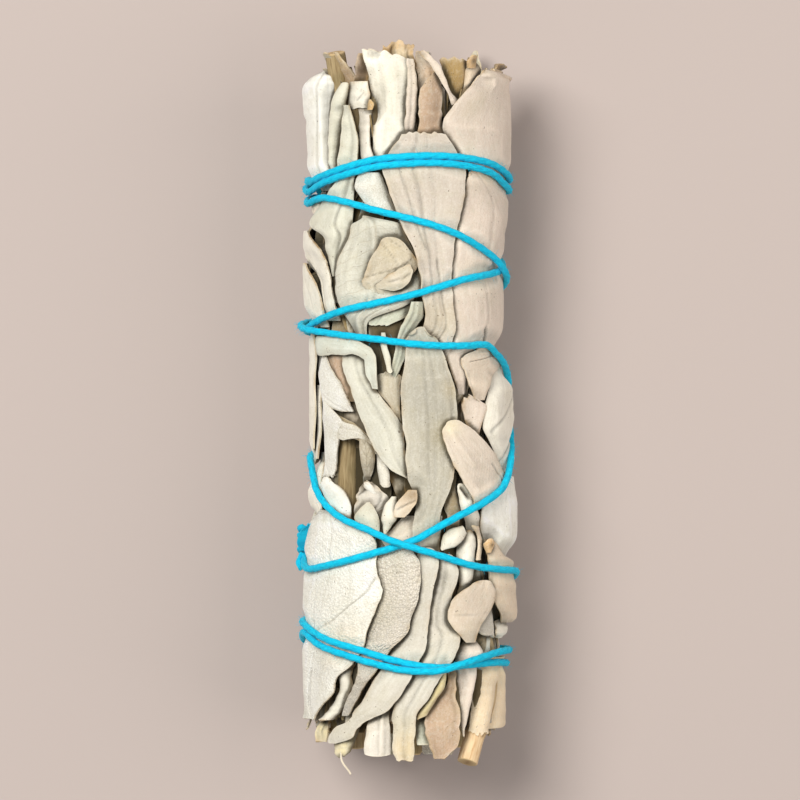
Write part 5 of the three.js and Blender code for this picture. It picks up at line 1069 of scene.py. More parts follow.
# %% Sage leaf materials
def sage_leaf(name, aged, aged_tone, sheen):
    """Felted leaf: matt, very pale; aged says how far it has turned to the tone of bare leaf."""
    material, tree, shader = new_material(name)
    place = node(tree, "ShaderNodeTexCoord").outputs["Object"]
    flat = node(tree, "ShaderNodeUVMap", uv_map="UVMap").outputs[0]
    grain_line = node(tree, "ShaderNodeMapping", {"Vector": flat, "Scale": (2.4, 0.35, 1)}).outputs[0]

    def attribute(key):
        return node(tree, "ShaderNodeAttribute", attribute_name=key)

    def noise_at(size, detail=3.0, roughness=0.55, where=place):
        inputs = {"Vector": where, "Scale": size, "Detail": detail, "Roughness": roughness}
        return node(tree, "ShaderNodeTexNoise", inputs).outputs[0]

    # The hue of each point, with its painted shade and painted highlight
    tint = attribute("tint").outputs["Color"]
    rim = attribute("rim").outputs["Fac"]
    felt = attribute("felt").outputs["Fac"]
    veins = attribute("veins").outputs["Fac"]
    pebble = attribute("pebble").outputs["Fac"]
    patches = noise_at(per_mm(7), 4)
    mottle = noise_at(per_mm(1.1), 4, 0.65)
    fine = noise_at(per_mm(0.28), 3, 0.7)
    colour = mixed(tree, aged, tint, rgba(aged_tone))
    paleness = spread(tree, node(tree, "ShaderNodeRGBToBW", {0: colour}).outputs[0], 0.05, 0.45)
    grown = noise_at(1, 4, 0.6, grain_line)
    layers = [  # where, how strongly and in which colour: dust, rubbed felt and fibres on pale leaf
        (spread(tree, patches, 0.5, 0.75), 0.35, "#cbc3a3"),
        (spread(tree, mottle, 0.52, 0.8), 0.42, "#b3aa88"),
        (spread(tree, fine, 0.5, 0.75), 0.16, "#fffdf4"),
        (spread(tree, grown, 0.5, 0.75), 0.15, "#fffcf2"),
        (spread(tree, grown, 0.5, 0.25), 0.13, "#a69a78"),
        (spread(tree, noise_at(per_mm(0.55), 3, 0.6), 0.53, 0.58), 0.1, "#fffef8"),
    ]
    for where, strength, code in layers:
        amount = maths(tree, "MULTIPLY", maths(tree, "MULTIPLY", where, strength), paleness)
        colour = mixed(tree, amount, colour, rgba(code))
    across = attribute("across").outputs["Fac"]
    apart = node(tree, "ShaderNodeSeparateXYZ", {0: flat}).outputs[1]
    slant = maths(tree, "MULTIPLY_ADD", maths(tree, "ABSOLUTE", across), 2.2, apart)
    wander = maths(tree, "MULTIPLY_ADD", noise_at(per_mm(1.6), 2), 1.2, slant)
    side_veins = spread(tree, maths(tree, "PINGPONG", wander, 0.85), 0.12, 0.0)
    midrib = spread(tree, maths(tree, "ABSOLUTE", across), 0.05, 0.0)
    net = node(tree, "ShaderNodeTexVoronoi", {"Vector": flat, "Scale": 1.7}, feature="DISTANCE_TO_EDGE")
    fine_net = maths(tree, "MULTIPLY", spread(tree, net.outputs["Distance"], 0.12, 0.0), 0.45)
    lines = maths(tree, "MAXIMUM", maths(tree, "MAXIMUM", side_veins, midrib), fine_net)
    lines = maths(tree, "MULTIPLY", lines, veins)
    colour = mixed(tree, maths(tree, "MULTIPLY", lines, 0.35), colour, rgba("#a98f62"))
    stretches = spread(tree, noise_at(per_mm(3.5), 3), 0.42, 0.62)
    broken = maths(tree, "MULTIPLY", maths(tree, "MULTIPLY", rim, stretches), spread(tree, mottle, 0.25, 0.6))
    colour = mixed(tree, maths(tree, "MULTIPLY", broken, 0.85), colour, rgba("#b08a50"))
    crowded = maths(tree, "MULTIPLY_ADD", patches, 0.16, noise_at(per_mm(0.36), 1, 0.4))
    specks = spread(tree, crowded, 0.835, 0.865)
    colour = mixed(tree, maths(tree, "MULTIPLY", specks, 0.75), colour, rgba("#5a4630"))
    grains = node(tree, "ShaderNodeTexVoronoi", {"Vector": flat, "Scale": 2.7}, feature="DISTANCE_TO_EDGE")
    # Painted shade: the grooves between the pebbles are drawn darker
    shade_between_pebbles = maths(tree, "MULTIPLY", spread(tree, grains.outputs["Distance"], 0.16, 0.0), pebble)
    colour = mixed(tree, maths(tree, "MULTIPLY", shade_between_pebbles, 0.42), colour, rgba("#a59a7c"))
    fuzz = spread(tree, noise_at(per_mm(0.2), 2, 0.7), 0.35, 0.7)
    hairs = maths(tree, "MULTIPLY", maths(tree, "MULTIPLY_ADD", felt, 0.3, 0.1), paleness)
    fuzz_tone = mixed(tree, fuzz, rgba("#b5ab90"), rgba("#fffef8"))
    colour = mixed(tree, hairs, colour, fuzz_tone)
    tree.links.new(colour, shader.inputs["Base Color"])
    cells_of = node(tree, "ShaderNodeTexVoronoi", {"Vector": flat, "Scale": 2.7}, feature="F1")
    grain = maths(tree, "MULTIPLY", cells_of.outputs["Distance"], pebble)
    height = maths(tree, "MULTIPLY_ADD", grain, -3.2, fine)
    height = maths(tree, "MULTIPLY_ADD", grown, 0.45, height)
    height = maths(tree, "MULTIPLY_ADD", lines, -0.8, height)
    height = maths(
        tree, "MULTIPLY_ADD", maths(tree, "MULTIPLY", noise_at(per_mm(0.13), 2), felt), 1.5, height)
    height = maths(tree, "MULTIPLY_ADD", mottle, 0.9, height)
    bump = node(tree, "ShaderNodeBump", {"Strength": 0.8, "Distance": 0.12 * MM, "Height": height})
    tree.links.new(bump.outputs[0], shader.inputs["Normal"])
    shader.inputs["Roughness"].default_value = 0.88
    shader.inputs["Specular IOR Level"].default_value = 0.25
    shader.inputs["Sheen Weight"].default_value = sheen
    shader.inputs["Sheen Roughness"].default_value = 0.45
    return material


LEAF_FACE = sage_leaf("sage_leaf_felted_face", 0.0, "#b9a67e", 0.25)
LEAF_BACK = sage_leaf("sage_leaf_back", 0.35, "#b3a07a", 0.15)
LEAF_EDGE = sage_leaf("sage_leaf_bare_edge", 0.3, "#c9ac72", 0.0)
print("leaf materials:", LEAF_FACE.name, LEAF_BACK.name, LEAF_EDGE.name)

# %% Dark packed leaf
def packed_leaf(name):
    """Crumbled inner leaf and stalk: olive brown, furrowed, no felt left, and made near black as painted
    shade for the deepest gaps.
    """
    material, tree, shader = new_material(name)
    place = node(tree, "ShaderNodeTexCoord").outputs["Object"]
    stretched = node(tree, "ShaderNodeMapping", {"Vector": place, "Scale": (1, 0.15, 1)}).outputs[0]
    furrows = node(tree, "ShaderNodeTexNoise", {"Vector": stretched, "Scale": per_mm(0.9), "Detail": 4})
    tone = mixed(tree, spread(tree, furrows.outputs[0], 0.35, 0.7), rgba("#3a3122"), rgba("#6f6142"))
    tree.links.new(tone, shader.inputs["Base Color"])
    bump = node(tree, "ShaderNodeBump", {"Strength": 1.0, "Distance": 0.4 * MM, "Height": furrows.outputs[0]})
    tree.links.new(bump.outputs[0], shader.inputs["Normal"])
    shader.inputs["Roughness"].default_value = 0.9
    return material


PACKED_LEAF = packed_leaf("inner_leaf_with_painted_shade")
print("material:", PACKED_LEAF.name)

# %% [markdown]
# ## The leafy part of each sprig
# The laid leaves become meshes here, one piece for each sprig. The colour of each point is worked out
# from its leaf's hue. Painted shade makes it darker and more olive deep in the bundle, in grooves and
# hollows, on sides that turn down and under neighbours, and a painted highlight lightens its rim and bumps.

# %% Turn laid leaves into meshes
DEEP_SHADE_TONE, DEEP_SHADE_SHARE = "#43381f", 0.85  # painted shade far below the bundle's surface
COVERED_SHADE_TONE, COVERED_SHADE_SHARE = "#3d3522", 0.82  # painted shade just under a neighbour
STEEP_SHADE_TONE, STEEP_SHADE_SHARE = "#8d8362", 0.4  # painted shade on sides that turn down
RIM_HIGHLIGHT_TONE, RIM_HIGHLIGHT_SHARE = "#f7eed9", 0.45  # painted highlight at the rim
RIM_HIGHLIGHT_WIDTH = 0.22
GOLDEN_WIDTH = 0.35
GROOVE_SHADE_SHARE = 0.45  # painted shade: how much darker a groove is, and then a hollow
HOLLOW_SHADE_SHARE = 0.22
STEM_GAP_MIDDLE = -9.7  # mm round the bundle
STEM_GAP_ENDS = (-17, -4)
STEM_GAP_DEPTH = 2.8
DEEP_LEAF = 12.5  # a leaf that may lie lower than this gives way over the open stem


def leaf_tint(item, radius):
    look = item["look"]
    base = np.array(linear(HUES[look["hue"]]))
    shade = 1 + 0.1 * noise(item["s"] / 5, item["y"] / 5, 3)[..., None]
    # Painted shade: the further below the bundle's top, the darker and more olive the leaf
    depth = np.clip((read_grid(surface, item["s"], item["y"]) - radius - 0.6) / 1.4, 0, 1)[..., None]
    deep = np.array(linear(DEEP_SHADE_TONE))
    depth = DEEP_SHADE_SHARE * look["dust"] * depth
    tint = base * shade * (1 - depth) + deep * depth
    # Painted shade where a higher neighbour lies over or just beside the leaf
    covered = np.clip((read_grid(beside, item["s"], item["y"]) - radius - 0.14) / 0.45, 0, 1)[..., None]
    covered = COVERED_SHADE_SHARE * look["dust"] * covered
    tint = tint * (1 - covered) + np.array(linear(COVERED_SHADE_TONE)) * covered
    groove = item["groove"].copy()
    across = np.linspace(0, 1, item["s"].shape[1])
    for spot, tall, wide in look["folds"]:
        if tall < 0:
            off = (across[None, :] - spot) * item["width"][:, None] / wide
            groove = np.maximum(groove, np.exp(-off * off) * min(1, -tall * 3))
    # Spots of colour: real stains, and on some leaves dark spots of painted shade in holes and hollows or
    # olive painted shade at a side
    for u, v, reach, code, strength in look["stains"]:
        off = ((item["across"][None, :] + 1) / 2 - u) * item["width"][:, None]
        far = (item["along"] - v * item["along"][-1])[:, None]
        stain = strength * np.exp(-(off**2 + far**2) / reach**2)[..., None]
        tint = tint * (1 - stain) + np.array(linear(code)) * stain
    # Painted shade in grooves and creases
    tint = tint * (1 - GROOVE_SHADE_SHARE * groove[..., None])
    # Painted shade in the hollows of the leaf's own surface, and a painted highlight on its bumps
    hollow = np.clip((softened(radius, 5) - radius) / 0.07, -0.5, 1)[..., None]
    # Painted shade on the sides that turn steeply down
    steep = np.abs(np.gradient(radius, axis=1)) / (item["width"][:, None] / item["s"].shape[1])
    steep = np.clip((steep - 0.5) / 1.6, 0, 1)[..., None]
    tint = tint * (1 - HOLLOW_SHADE_SHARE * hollow)
    tint = tint * (1 - STEEP_SHADE_SHARE * steep) + np.array(linear(STEEP_SHADE_TONE)) * STEEP_SHADE_SHARE * steep
    # A painted highlight along the rim, except where a neighbour covers it
    rim_highlight = (np.exp(-np.maximum(item["edge"], 0) / RIM_HIGHLIGHT_WIDTH)
            * (0.5 + 0.4 * noise(item["along"] / 3, 0 * item["along"], 6))[:, None])
    rim_highlight = (RIM_HIGHLIGHT_SHARE * rim_highlight)[..., None] * (1 - covered)
    tint = tint * (1 - rim_highlight) + np.array(linear(RIM_HIGHLIGHT_TONE)) * rim_highlight
    return np.concatenate([np.clip(tint, 0, 1), np.ones(tint.shape[:2] + (1,))], axis=2)


def softened(values, times):
    """A leaf's values averaged with their neighbours."""
    for _ in range(times):
        wide = np.pad(values, 1, mode="edge")
        values = (wide[:-2, 1:-1] + wide[2:, 1:-1] + wide[1:-1, :-2] + wide[1:-1, 2:] + 2 * values) / 6
    return values


def stem_gap(s, y):
    """1 where the stem lies open to view at the left, between the leaves."""
    start, end = STEM_GAP_ENDS
    across = smooth_step((2.5 - np.abs(s - STEM_GAP_MIDDLE)) / 0.8)
    return across * smooth_step((y - start) / 1.5) * smooth_step((end - y) / 1.5)


def seen_from_above(angle, y, radius):
    """Turns a deep point outwards, so that a leaf's outline still looks from above as it was drawn."""
    turn = (angle + math.pi) % TURN - math.pi
    flank = bundle_radius(np.sign(turn) * math.pi / 2, y)
    straight = np.arcsin(np.clip(flank * np.sin(turn) / np.maximum(radius, 12.8), -0.98, 0.98))
    share = smooth_step((math.radians(75) - np.abs(turn)) / math.radians(40))
    return angle + share * (straight - turn)


def leaf_sheet(item):
    look, s, y = item["look"], item["s"], item["y"]
    share = read_grid(squeeze_without_string if look["proud"] else squeeze, s, y)
    free = smooth_step((read_grid(string_distance, s, y) - 0.8) / 2)
    radius = CORE_RADIUS + (item["radius"] - CORE_RADIUS) * share + look["proud"] * free
    if look["lowest"] < DEEP_LEAF:
        radius = radius - STEM_GAP_DEPTH * stem_gap(s, y)
    angle = s / TOP_RADIUS
    radius = above_ground(radius, angle, FLOOR_GAP)
    points = around(seen_from_above(angle, y, softened(radius, 30)), y, radius)
    golden = look["rim"] * np.exp(-np.maximum(item["edge"], 0) / GOLDEN_WIDTH)
    full = np.ones(s.shape)
    # The tint carries the leaf's painted shade and painted highlight
    values = {"tint": leaf_tint(item, radius), "rim": golden}
    for key in ("felt", "veins", "pebble"):
        values[key] = full * max(look[key], 0)
    values["across"] = full * item["across"][None, :]
    turned = np.diff(s, axis=1).mean() * np.diff(y, axis=0).mean() < 0
    if turned:
        points = points[:, ::-1]
        values = {key: v[:, ::-1] for key, v in values.items()}
    size = (float(item["width"].max()), float(item["along"][-1]))
    return add_sheet("leaf", points, values, size)


sheets = {n: [] for n in range(1, SPRIGS_ROUND + 2)}
for item in laid_leaves:
    sheets[item["sprig"]].append(leaf_sheet(item))
print({f"sprig_{n}": len(made) for n, made in sheets.items()}, "leaves")

# %% [markdown]
# ## The ends
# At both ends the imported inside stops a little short, and leaf ends and rolled leaves stand out of it.
# Each is a small sheet curled round its own length, placed in rings with seeded random draws.

# %% Rolled leaf ends
# distance from the axis, how many
END_RINGS = [(2.3, 6), (4.4, 12), (6.4, 18), (8.4, 25), (10.4, 32), (12.1, 36)]
END_GRID = (8, 21)  # points along a curled leaf end and round it
END_REACH = 13.2  # no leaf end stands further than this from the axis
END_ABOVE_FLOOR = 0.15
END_SHADE_TONE = "#5b4d33"  # painted shade: what the ends darken to inside the bundle
END_HUES = ["cream", "olive_white", "tan_cream", "peach", "grey_white", "taupe", "yellow_olive"]


def rolled_end(end, distance, turn):
    """One curled leaf end that stands out of the bundle's end."""
    curl = drawn(0.8, 1.6)
    opening = drawn(140, 640)
    facing = drawn(0, 360)
    upper = distance * math.cos(turn) > 4
    inner, outer = drawn(37, 40), drawn(43.4, 44.8) + (0 if upper or end > 0 else drawn(0, 2.6))
    rows, columns = END_GRID
    along = np.linspace(0, 1, rows)[:, None]
    arc = np.radians(facing + opening * np.linspace(-0.5, 0.5, columns))[None, :]
    tighten = 1 - min(0.75, opening / 700) * np.linspace(0, 1, columns)[None, :]
    wide = curl * tighten * (0.85 + 0.3 * along) * (1 + 0.1 * noise(along * 3, arc, drawn(0, 99)))
    lean_x, lean_z = drawn(-0.9, 0.9), drawn(-0.7, 0.7)
    x = distance * math.sin(turn) + wide * np.cos(arc) + lean_x * along
    z = distance * math.cos(turn) + wide * np.sin(arc) + lean_z * along
    ragged = noise(arc * 1.4, 0 * arc, drawn(0, 99)) * 0.35 + noise(arc * 4, 0 * arc, drawn(0, 99)) * 0.15
    y = end * (inner + (outer - inner + ragged) * along)
    far = np.hypot(x, z)
    reach = np.minimum(far, END_REACH) / far
    floor = END_ABOVE_FLOOR - AXIS_HEIGHT
    points = np.stack([x * reach, y, AXIS_HEIGHT + np.maximum(z * reach, floor)], axis=-1) * MM
    hue = END_HUES[int(drawn(0, len(END_HUES)))]
    # Painted shade: the part of each end that lies inside the bundle is darkened
    depth = 1 - 0.75 * smooth_step((np.abs(y) - 41) / 5)
    base = (np.array(linear(HUES[hue])) * (1 - depth[..., None])
            + np.array(linear(END_SHADE_TONE)) * depth[..., None])
    tint = np.concatenate([base, np.ones(base.shape[:2] + (1,))], axis=2)
    golden = drawn(0.2, 1) * np.exp(-(1 - along) * 12) * np.ones(arc.shape)
    none = np.zeros(y.shape)
    values = {"tint": tint, "rim": golden, "felt": none, "veins": none, "pebble": none,
              "across": none + np.linspace(-1, 1, columns)[None, :]}
    if end > 0:
        points = points[:, ::-1]
        values = {key: v[:, ::-1] for key, v in values.items()}
    return add_sheet("leaf_end", points, values, (4, 8))


for end in (-1, 1):
    for distance, count in END_RINGS:
        for k in range(count):
            turn = TURN * (k + 0.5) / count + drawn(-0.12, 0.12)
            n = SPRIGS_ROUND + 1 if distance < MIDDLE_RADIUS else sprig_of(turn * TOP_RADIUS)
            sheets[n].append(rolled_end(end, distance + drawn(-0.4, 0.4), turn))
print(sum(len(made) for made in sheets.values()), "sheets so far")

# %% Finish the foliage
FOLIAGE_MATERIALS = (LEAF_FACE, LEAF_BACK, LEAF_EDGE, PACKED_LEAF)
CORE_RINGS = 90
MIDDLE_SIDES = 24
WEDGE_OUTER, WEDGE_INNER = 14, 7  # points along the outer and the inner side of a wedge


def packed_core(n):
    """The dark inside of a sprig: a wedge of the bundle, or its middle, drawn to a point at the ends."""
    y = np.linspace(BODY_ENDS[0] + 1.5, BODY_ENDS[1] - 1.5, CORE_RINGS)
    y = np.concatenate([[y[0]], y, [y[-1]]])
    if n > SPRIGS_ROUND:
        turns = np.linspace(0, TURN, MIDDLE_SIDES, endpoint=False)
        radii = np.full(MIDDLE_SIDES, MIDDLE_RADIUS)
    else:
        middle, half = (n - 1) * TURN / SPRIGS_ROUND, TURN / SPRIGS_ROUND / 2 - 0.012
        outer, inner = np.linspace(-half, half, WEDGE_OUTER), np.linspace(half, -half, WEDGE_INNER)
        turns = middle + np.concatenate([outer, inner])
        radii = np.concatenate([np.full(WEDGE_OUTER, CORE_RADIUS),
                                np.full(WEDGE_INNER, MIDDLE_RADIUS + 0.3)])
    rough = 0.25 * noise(turns[None, :] * 9, y[:, None] / 7, n)
    radii = radii[None, :] - np.abs(rough) * (radii[None, :] > MIDDLE_RADIUS + 1)
    points = around(turns[None, :] + 0 * radii, y[:, None] * np.ones_like(radii), radii)
    crumbled = 1.2 * noise(turns * 5, 0 * turns, n)[:, None] * [0, MM, 0]
    points[:3], points[-3:] = points[:3] + crumbled, points[-3:] - crumbled
    points[0], points[-1] = points[0].mean(axis=0), points[-1].mean(axis=0)
    points[0, :, 1], points[-1, :, 1] = points[0, :, 1] + 1.5 * MM, points[-1, :, 1] - 1.5 * MM
    return add_tube("packed_core", points, None, (20, 90))


for n, made in sheets.items():
    foliage = joined(made, f"sprig_{n}_foliage")
    for material in FOLIAGE_MATERIALS:
        foliage.data.materials.append(material)
    apply_modifier(foliage, "SOLIDIFY", thickness=LEAF_THICKNESS * MM, offset=-1, material_offset=1,
                   material_offset_rim=2)
    core = packed_core(n)
    core.data.materials.clear()
    for material in FOLIAGE_MATERIALS:
        core.data.materials.append(material)
    packed_slot = FOLIAGE_MATERIALS.index(PACKED_LEAF)
    core.data.polygons.foreach_set("material_index", [packed_slot] * len(core.data.polygons))
    foliage = joined([foliage, core], f"sprig_{n}_foliage")
    bpy.ops.object.shade_smooth_by_angle(angle=math.radians(55))
    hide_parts(f"sprig_{n}_leaves")
    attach(foliage, "root")
    print(foliage.name, len(foliage.data.polygons), "faces")

# %% [markdown]
# ## The stems
# Each sprig has a woody stem, cut straight across. It is a rolled grid with fine ridges along it, and
# its end has a bevelled bark edge and a sunken pith. Two of them show: one stands out at the lower
# right, with torn bark, and one lies open in the gap at the left and ends at the upper left.

# %% Stem material
def dry_stem():
    """Dried woody stem: tan bark with ridges along it; cut ends show pale wood and a darker pith."""
    material, tree, shader = new_material("dry_sage_stem")
    flat = node(tree, "ShaderNodeUVMap", uv_map="UVMap").outputs[0]
    stretched = node(tree, "ShaderNodeMapping", {"Vector": flat, "Scale": (1, 0.12, 1)}).outputs[0]
    ridges = node(tree, "ShaderNodeTexNoise", {"Vector": stretched, "Scale": 3.2, "Detail": 4}).outputs[0]
    blotches = node(tree, "ShaderNodeTexNoise", {"Vector": flat, "Scale": 0.35, "Detail": 3}).outputs[0]
    bark = mixed(tree, spread(tree, ridges, 0.3, 0.7), rgba("#71603e"), rgba("#ac9870"))
    bark = mixed(tree, maths(tree, "MULTIPLY", spread(tree, blotches, 0.5, 0.7), 0.6), bark, rgba("#7f7550"))
    peeled = node(tree, "ShaderNodeAttribute", attribute_name="peeled").outputs["Fac"]
    smooth_wood = mixed(tree, spread(tree, ridges, 0.3, 0.6), rgba("#caa273"), rgba("#ecd1a8"))
    bark = mixed(tree, peeled, bark, smooth_wood)
    cut = node(tree, "ShaderNodeAttribute", attribute_name="cut").outputs["Fac"]
    pith = node(tree, "ShaderNodeAttribute", attribute_name="pith").outputs["Fac"]
    colour = mixed(tree, cut, bark, rgba("#d3b98c"))
    colour = mixed(tree, pith, colour, rgba("#8d6b42"))
    tree.links.new(colour, shader.inputs["Base Color"])
    bump = node(tree, "ShaderNodeBump", {"Strength": 0.7, "Distance": 0.15 * MM, "Height": ridges})
    tree.links.new(bump.outputs[0], shader.inputs["Normal"])
    shader.inputs["Roughness"].default_value = 0.75
    shader.inputs["Specular IOR Level"].default_value = 0.3
    return material


DRY_STEM = dry_stem()
print("material:", DRY_STEM.name)

# %% Stems
STEM_SIDES = 28
STEMS = [  # radius, how far the bark has peeled, and the path: degrees round the axis, distance from it, y
    (1.3, 0, [[4, 7.2, -49.2], [2, 7.4, -20], [0, 7.6, 10], [2, 7, 36]]),
    (1.5, 1, [[41, 12.6, -50.2], [50, 12.3, -46], [66, 11.9, -41], [74, 11.3, -36.5], [66, 9.5, -25],
        [60, 8, 0], [58, 7.5, 36]]),
    (1.2, 0, [[122, 8.4, -48.6], [118, 7.6, -20], [120, 7.8, 10], [118, 7.6, 38]]),
    (1.4, 0, [[176, 8, -49.6], [182, 7.6, -20], [180, 7.8, 10], [182, 7.5, 35]]),
    (1.2, 0, [[238, 8.6, -48.2], [242, 7.6, -20], [240, 7.6, 10], [242, 7.6, 39]]),
    (1.4, 0.25, [[-62, 8.2, -48.4], [-56, 9.6, -30], [-50, 10.9, -17], [-50, 10.9, -6], [-52, 9.8, 6],
        [-55, 9.8, 25], [-55, 10.8, 40], [-52, 12.9, 49]]),
    (1.5, 0, [[0, 0.6, -49], [90, 0.5, -20], [200, 0.5, 10], [0, 0.4, 37]]),
]
CUT_RINGS = [(0, 0.35), (0.22, 0.3), (0.3, 0.05), (0.86, 0.0), (0.97, 0.06), (1.0, 0.25)]  # share, depth mm
CUT_FACE_RINGS = 5  # how many of them are cut wood, and how many of those are pith
PITH_RINGS = 3
PEELED_LENGTH = 4.3  # from the cut end to where the torn bark starts


def stem_piece(n, radius, peeled, hand):
    corners = [around(np.array(math.radians(a)), np.array(y), np.array(d)) for a, d, y in hand]
    path = evenly(smooth_path(np.array(corners)), 0.5 * MM)
    forward = (path[1] - path[0]) / np.linalg.norm(path[1] - path[0])
    last = (path[-1] - path[-2]) / np.linalg.norm(path[-1] - path[-2])
    first_rings = [path[0] + forward * depth * MM for _, depth in CUT_RINGS]
    last_rings = [path[-1] - last * depth * MM for _, depth in reversed(CUT_RINGS)]
    inside = path[2:-2]
    line = np.vstack([first_rings, inside, last_rings])
    shares = np.concatenate([[s for s, _ in CUT_RINGS], np.ones(len(inside)),
                             [s for s, _ in reversed(CUT_RINGS)]])
    along = np.concatenate([[0], np.cumsum(np.linalg.norm(np.diff(line, axis=0), axis=1))]) / MM
    turn = np.arange(STEM_SIDES) / STEM_SIDES * 9
    ridge = (0.06 * noise(turn[None, :] * 2.2, along[:, None] / 9, n)
             + 0.04 * noise(0 * turn[None, :], along[:, None] / 4, n))
    boundary = PEELED_LENGTH + 0.7 * noise(turn[None, :], 0 * along[:, None], 2)
    torn = peeled * smooth_step((along[:, None] - boundary) / 0.3)
    radii = radius * MM * shares[:, None] * (1 + ridge) * (1 - 0.09 * (peeled > 0.5) * (1 - torn))
    points = rings(line, radii, STEM_SIDES, (0.2, 0.1, 1))
    mask = np.zeros((len(line), STEM_SIDES))
    mask[:CUT_FACE_RINGS] = mask[-CUT_FACE_RINGS:] = 1
    heart = np.zeros_like(mask)
    heart[:PITH_RINGS] = heart[-PITH_RINGS:] = 1
    knot_spot = ((along[:, None] - 4.4) ** 2 + (turn[None, :] - 6.6) ** 2 * 2) / 0.3
    heart = np.maximum(heart, (peeled > 0.5) * np.exp(-knot_spot))
    points[0], points[-1] = points[0].mean(axis=0), points[-1].mean(axis=0)
    stem = add_tube(f"sprig_{n}_bark", points,
                    {"cut": mask, "pith": heart, "peeled": peeled - 0.5 * torn},
                    (2 * math.pi * radius, along[-1]))
    stem.data.materials.clear()
    stem.data.materials.append(DRY_STEM)
    bpy.ops.object.shade_smooth_by_angle(angle=math.radians(50))
    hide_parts(f"sprig_{n}_stem")
    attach(stem, "root")
    return stem


for n, (radius, peeled, hand) in enumerate(STEMS, 1):
    made = stem_piece(n, radius, peeled, hand)
    print(made.name, len(made.data.polygons), "faces")

# %% [markdown]
# ## The string
# Embroidery cotton is twisted from plies, and the twist shows as slanting ridges. So three thin tubes
# are wound round each other along the route. Fibres that have come loose stand off it as short hairs.

# %% String material
def dyed_cotton():
    """Dyed cotton: soft, matt, with fibres that run slightly aslant along each ply."""
    material, tree, shader = new_material("dyed_cotton_ply")
    flat = node(tree, "ShaderNodeUVMap", uv_map="UVMap").outputs[0]
    slanted = node(tree, "ShaderNodeMapping", {"Vector": flat, "Scale": (6, 0.9, 1), "Rotation": (0, 0, 0.5)})
    grain = {"Vector": slanted.outputs[0], "Scale": 1.6, "Detail": 3}
    fibres = node(tree, "ShaderNodeTexNoise", grain).outputs[0]
    place = node(tree, "ShaderNodeTexCoord").outputs["Object"]
    patches = node(tree, "ShaderNodeTexNoise", {"Vector": place, "Scale": per_mm(5), "Detail": 2}).outputs[0]
    colour = mixed(tree, spread(tree, fibres, 0.3, 0.7), rgba("#01a6d4"), rgba("#06daf6"))
    faded = maths(tree, "MULTIPLY", spread(tree, patches, 0.45, 0.7), 0.5)
    colour = mixed(tree, faded, colour, rgba("#08bce2"))
    tree.links.new(colour, shader.inputs["Base Color"])
    bump = node(tree, "ShaderNodeBump", {"Strength": 0.8, "Distance": 0.06 * MM, "Height": fibres})
    tree.links.new(bump.outputs[0], shader.inputs["Normal"])
    shader.inputs["Roughness"].default_value = 0.8
    shader.inputs["Specular IOR Level"].default_value = 0.2
    shader.inputs["Sheen Weight"].default_value = 0.2
    shader.inputs["Sheen Tint"].default_value = rgba("#9fe9fb")
    return material


DYED_COTTON = dyed_cotton()
print("material:", DYED_COTTON.name)

# %% Twist the string
PLIES = 3
PLY_RADIUS = 0.42
PLY_OFFSET = 0.11
PITCH = 7.5
PLY_STEP = 0.3
PLY_SIDES = 6


def plied(path, ply_radius, ply_offset, outward):
    """Three plies twisted round a path in metres, as tubes."""
    forward = np.gradient(path, axis=0)
    forward /= np.linalg.norm(forward, axis=1)[:, None]
    side = np.cross(forward, outward)
    side /= np.linalg.norm(side, axis=1)[:, None]
    up = np.cross(side, forward)
    along = np.concatenate([[0], np.cumsum(np.linalg.norm(np.diff(path, axis=0), axis=1))]) / MM
    made = []
    for ply in range(PLIES):
        turn = TURN * (along / PITCH + ply / PLIES)
        middle = path + (side * np.cos(turn)[:, None] + up * np.sin(turn)[:, None]) * ply_offset * MM
        radii = np.full(len(path), ply_radius * MM)
        radii[0] = radii[-1] = 0
        made.append(add_tube("ply", rings(middle, radii, PLY_SIDES, (0.3, 0.2, 1)), None, (2, along[-1])))
    return made


string_line = evenly(smooth_path(string_path, 4), PLY_STEP * MM)
axis_points = string_line * [0, 1, 0] + np.array([0, 0, AXIS_HEIGHT * MM])
outward = string_line - axis_points
plies = plied(string_line, PLY_RADIUS, PLY_OFFSET, outward / np.linalg.norm(outward, axis=1)[:, None])
print("string of", len(string_line), "steps")

# %% The knot and its tails
KNOT_WRAPS = 3.4
KNOT_PLY_RADIUS = 0.3
KNOT_PLY_OFFSET = 0.16
FAN_THREADS = 26
THREAD_RADII = (0.13, 0.07)  # at the knot, at the loose end
THREAD_SIDES = 5
knot_middle = around(np.array(KNOT_TURN), np.array(KNOT_Y),
                     bundle_radius(np.array(KNOT_TURN), np.array(KNOT_Y)))
knot_out = np.array([math.sin(KNOT_TURN), 0, math.cos(KNOT_TURN)])
knot_side = np.array([math.cos(KNOT_TURN), 0, -math.sin(KNOT_TURN)])


def knot_point(out, y, side):
    return knot_middle + (knot_out * out + np.array([0, y, 0]) + knot_side * side) * MM


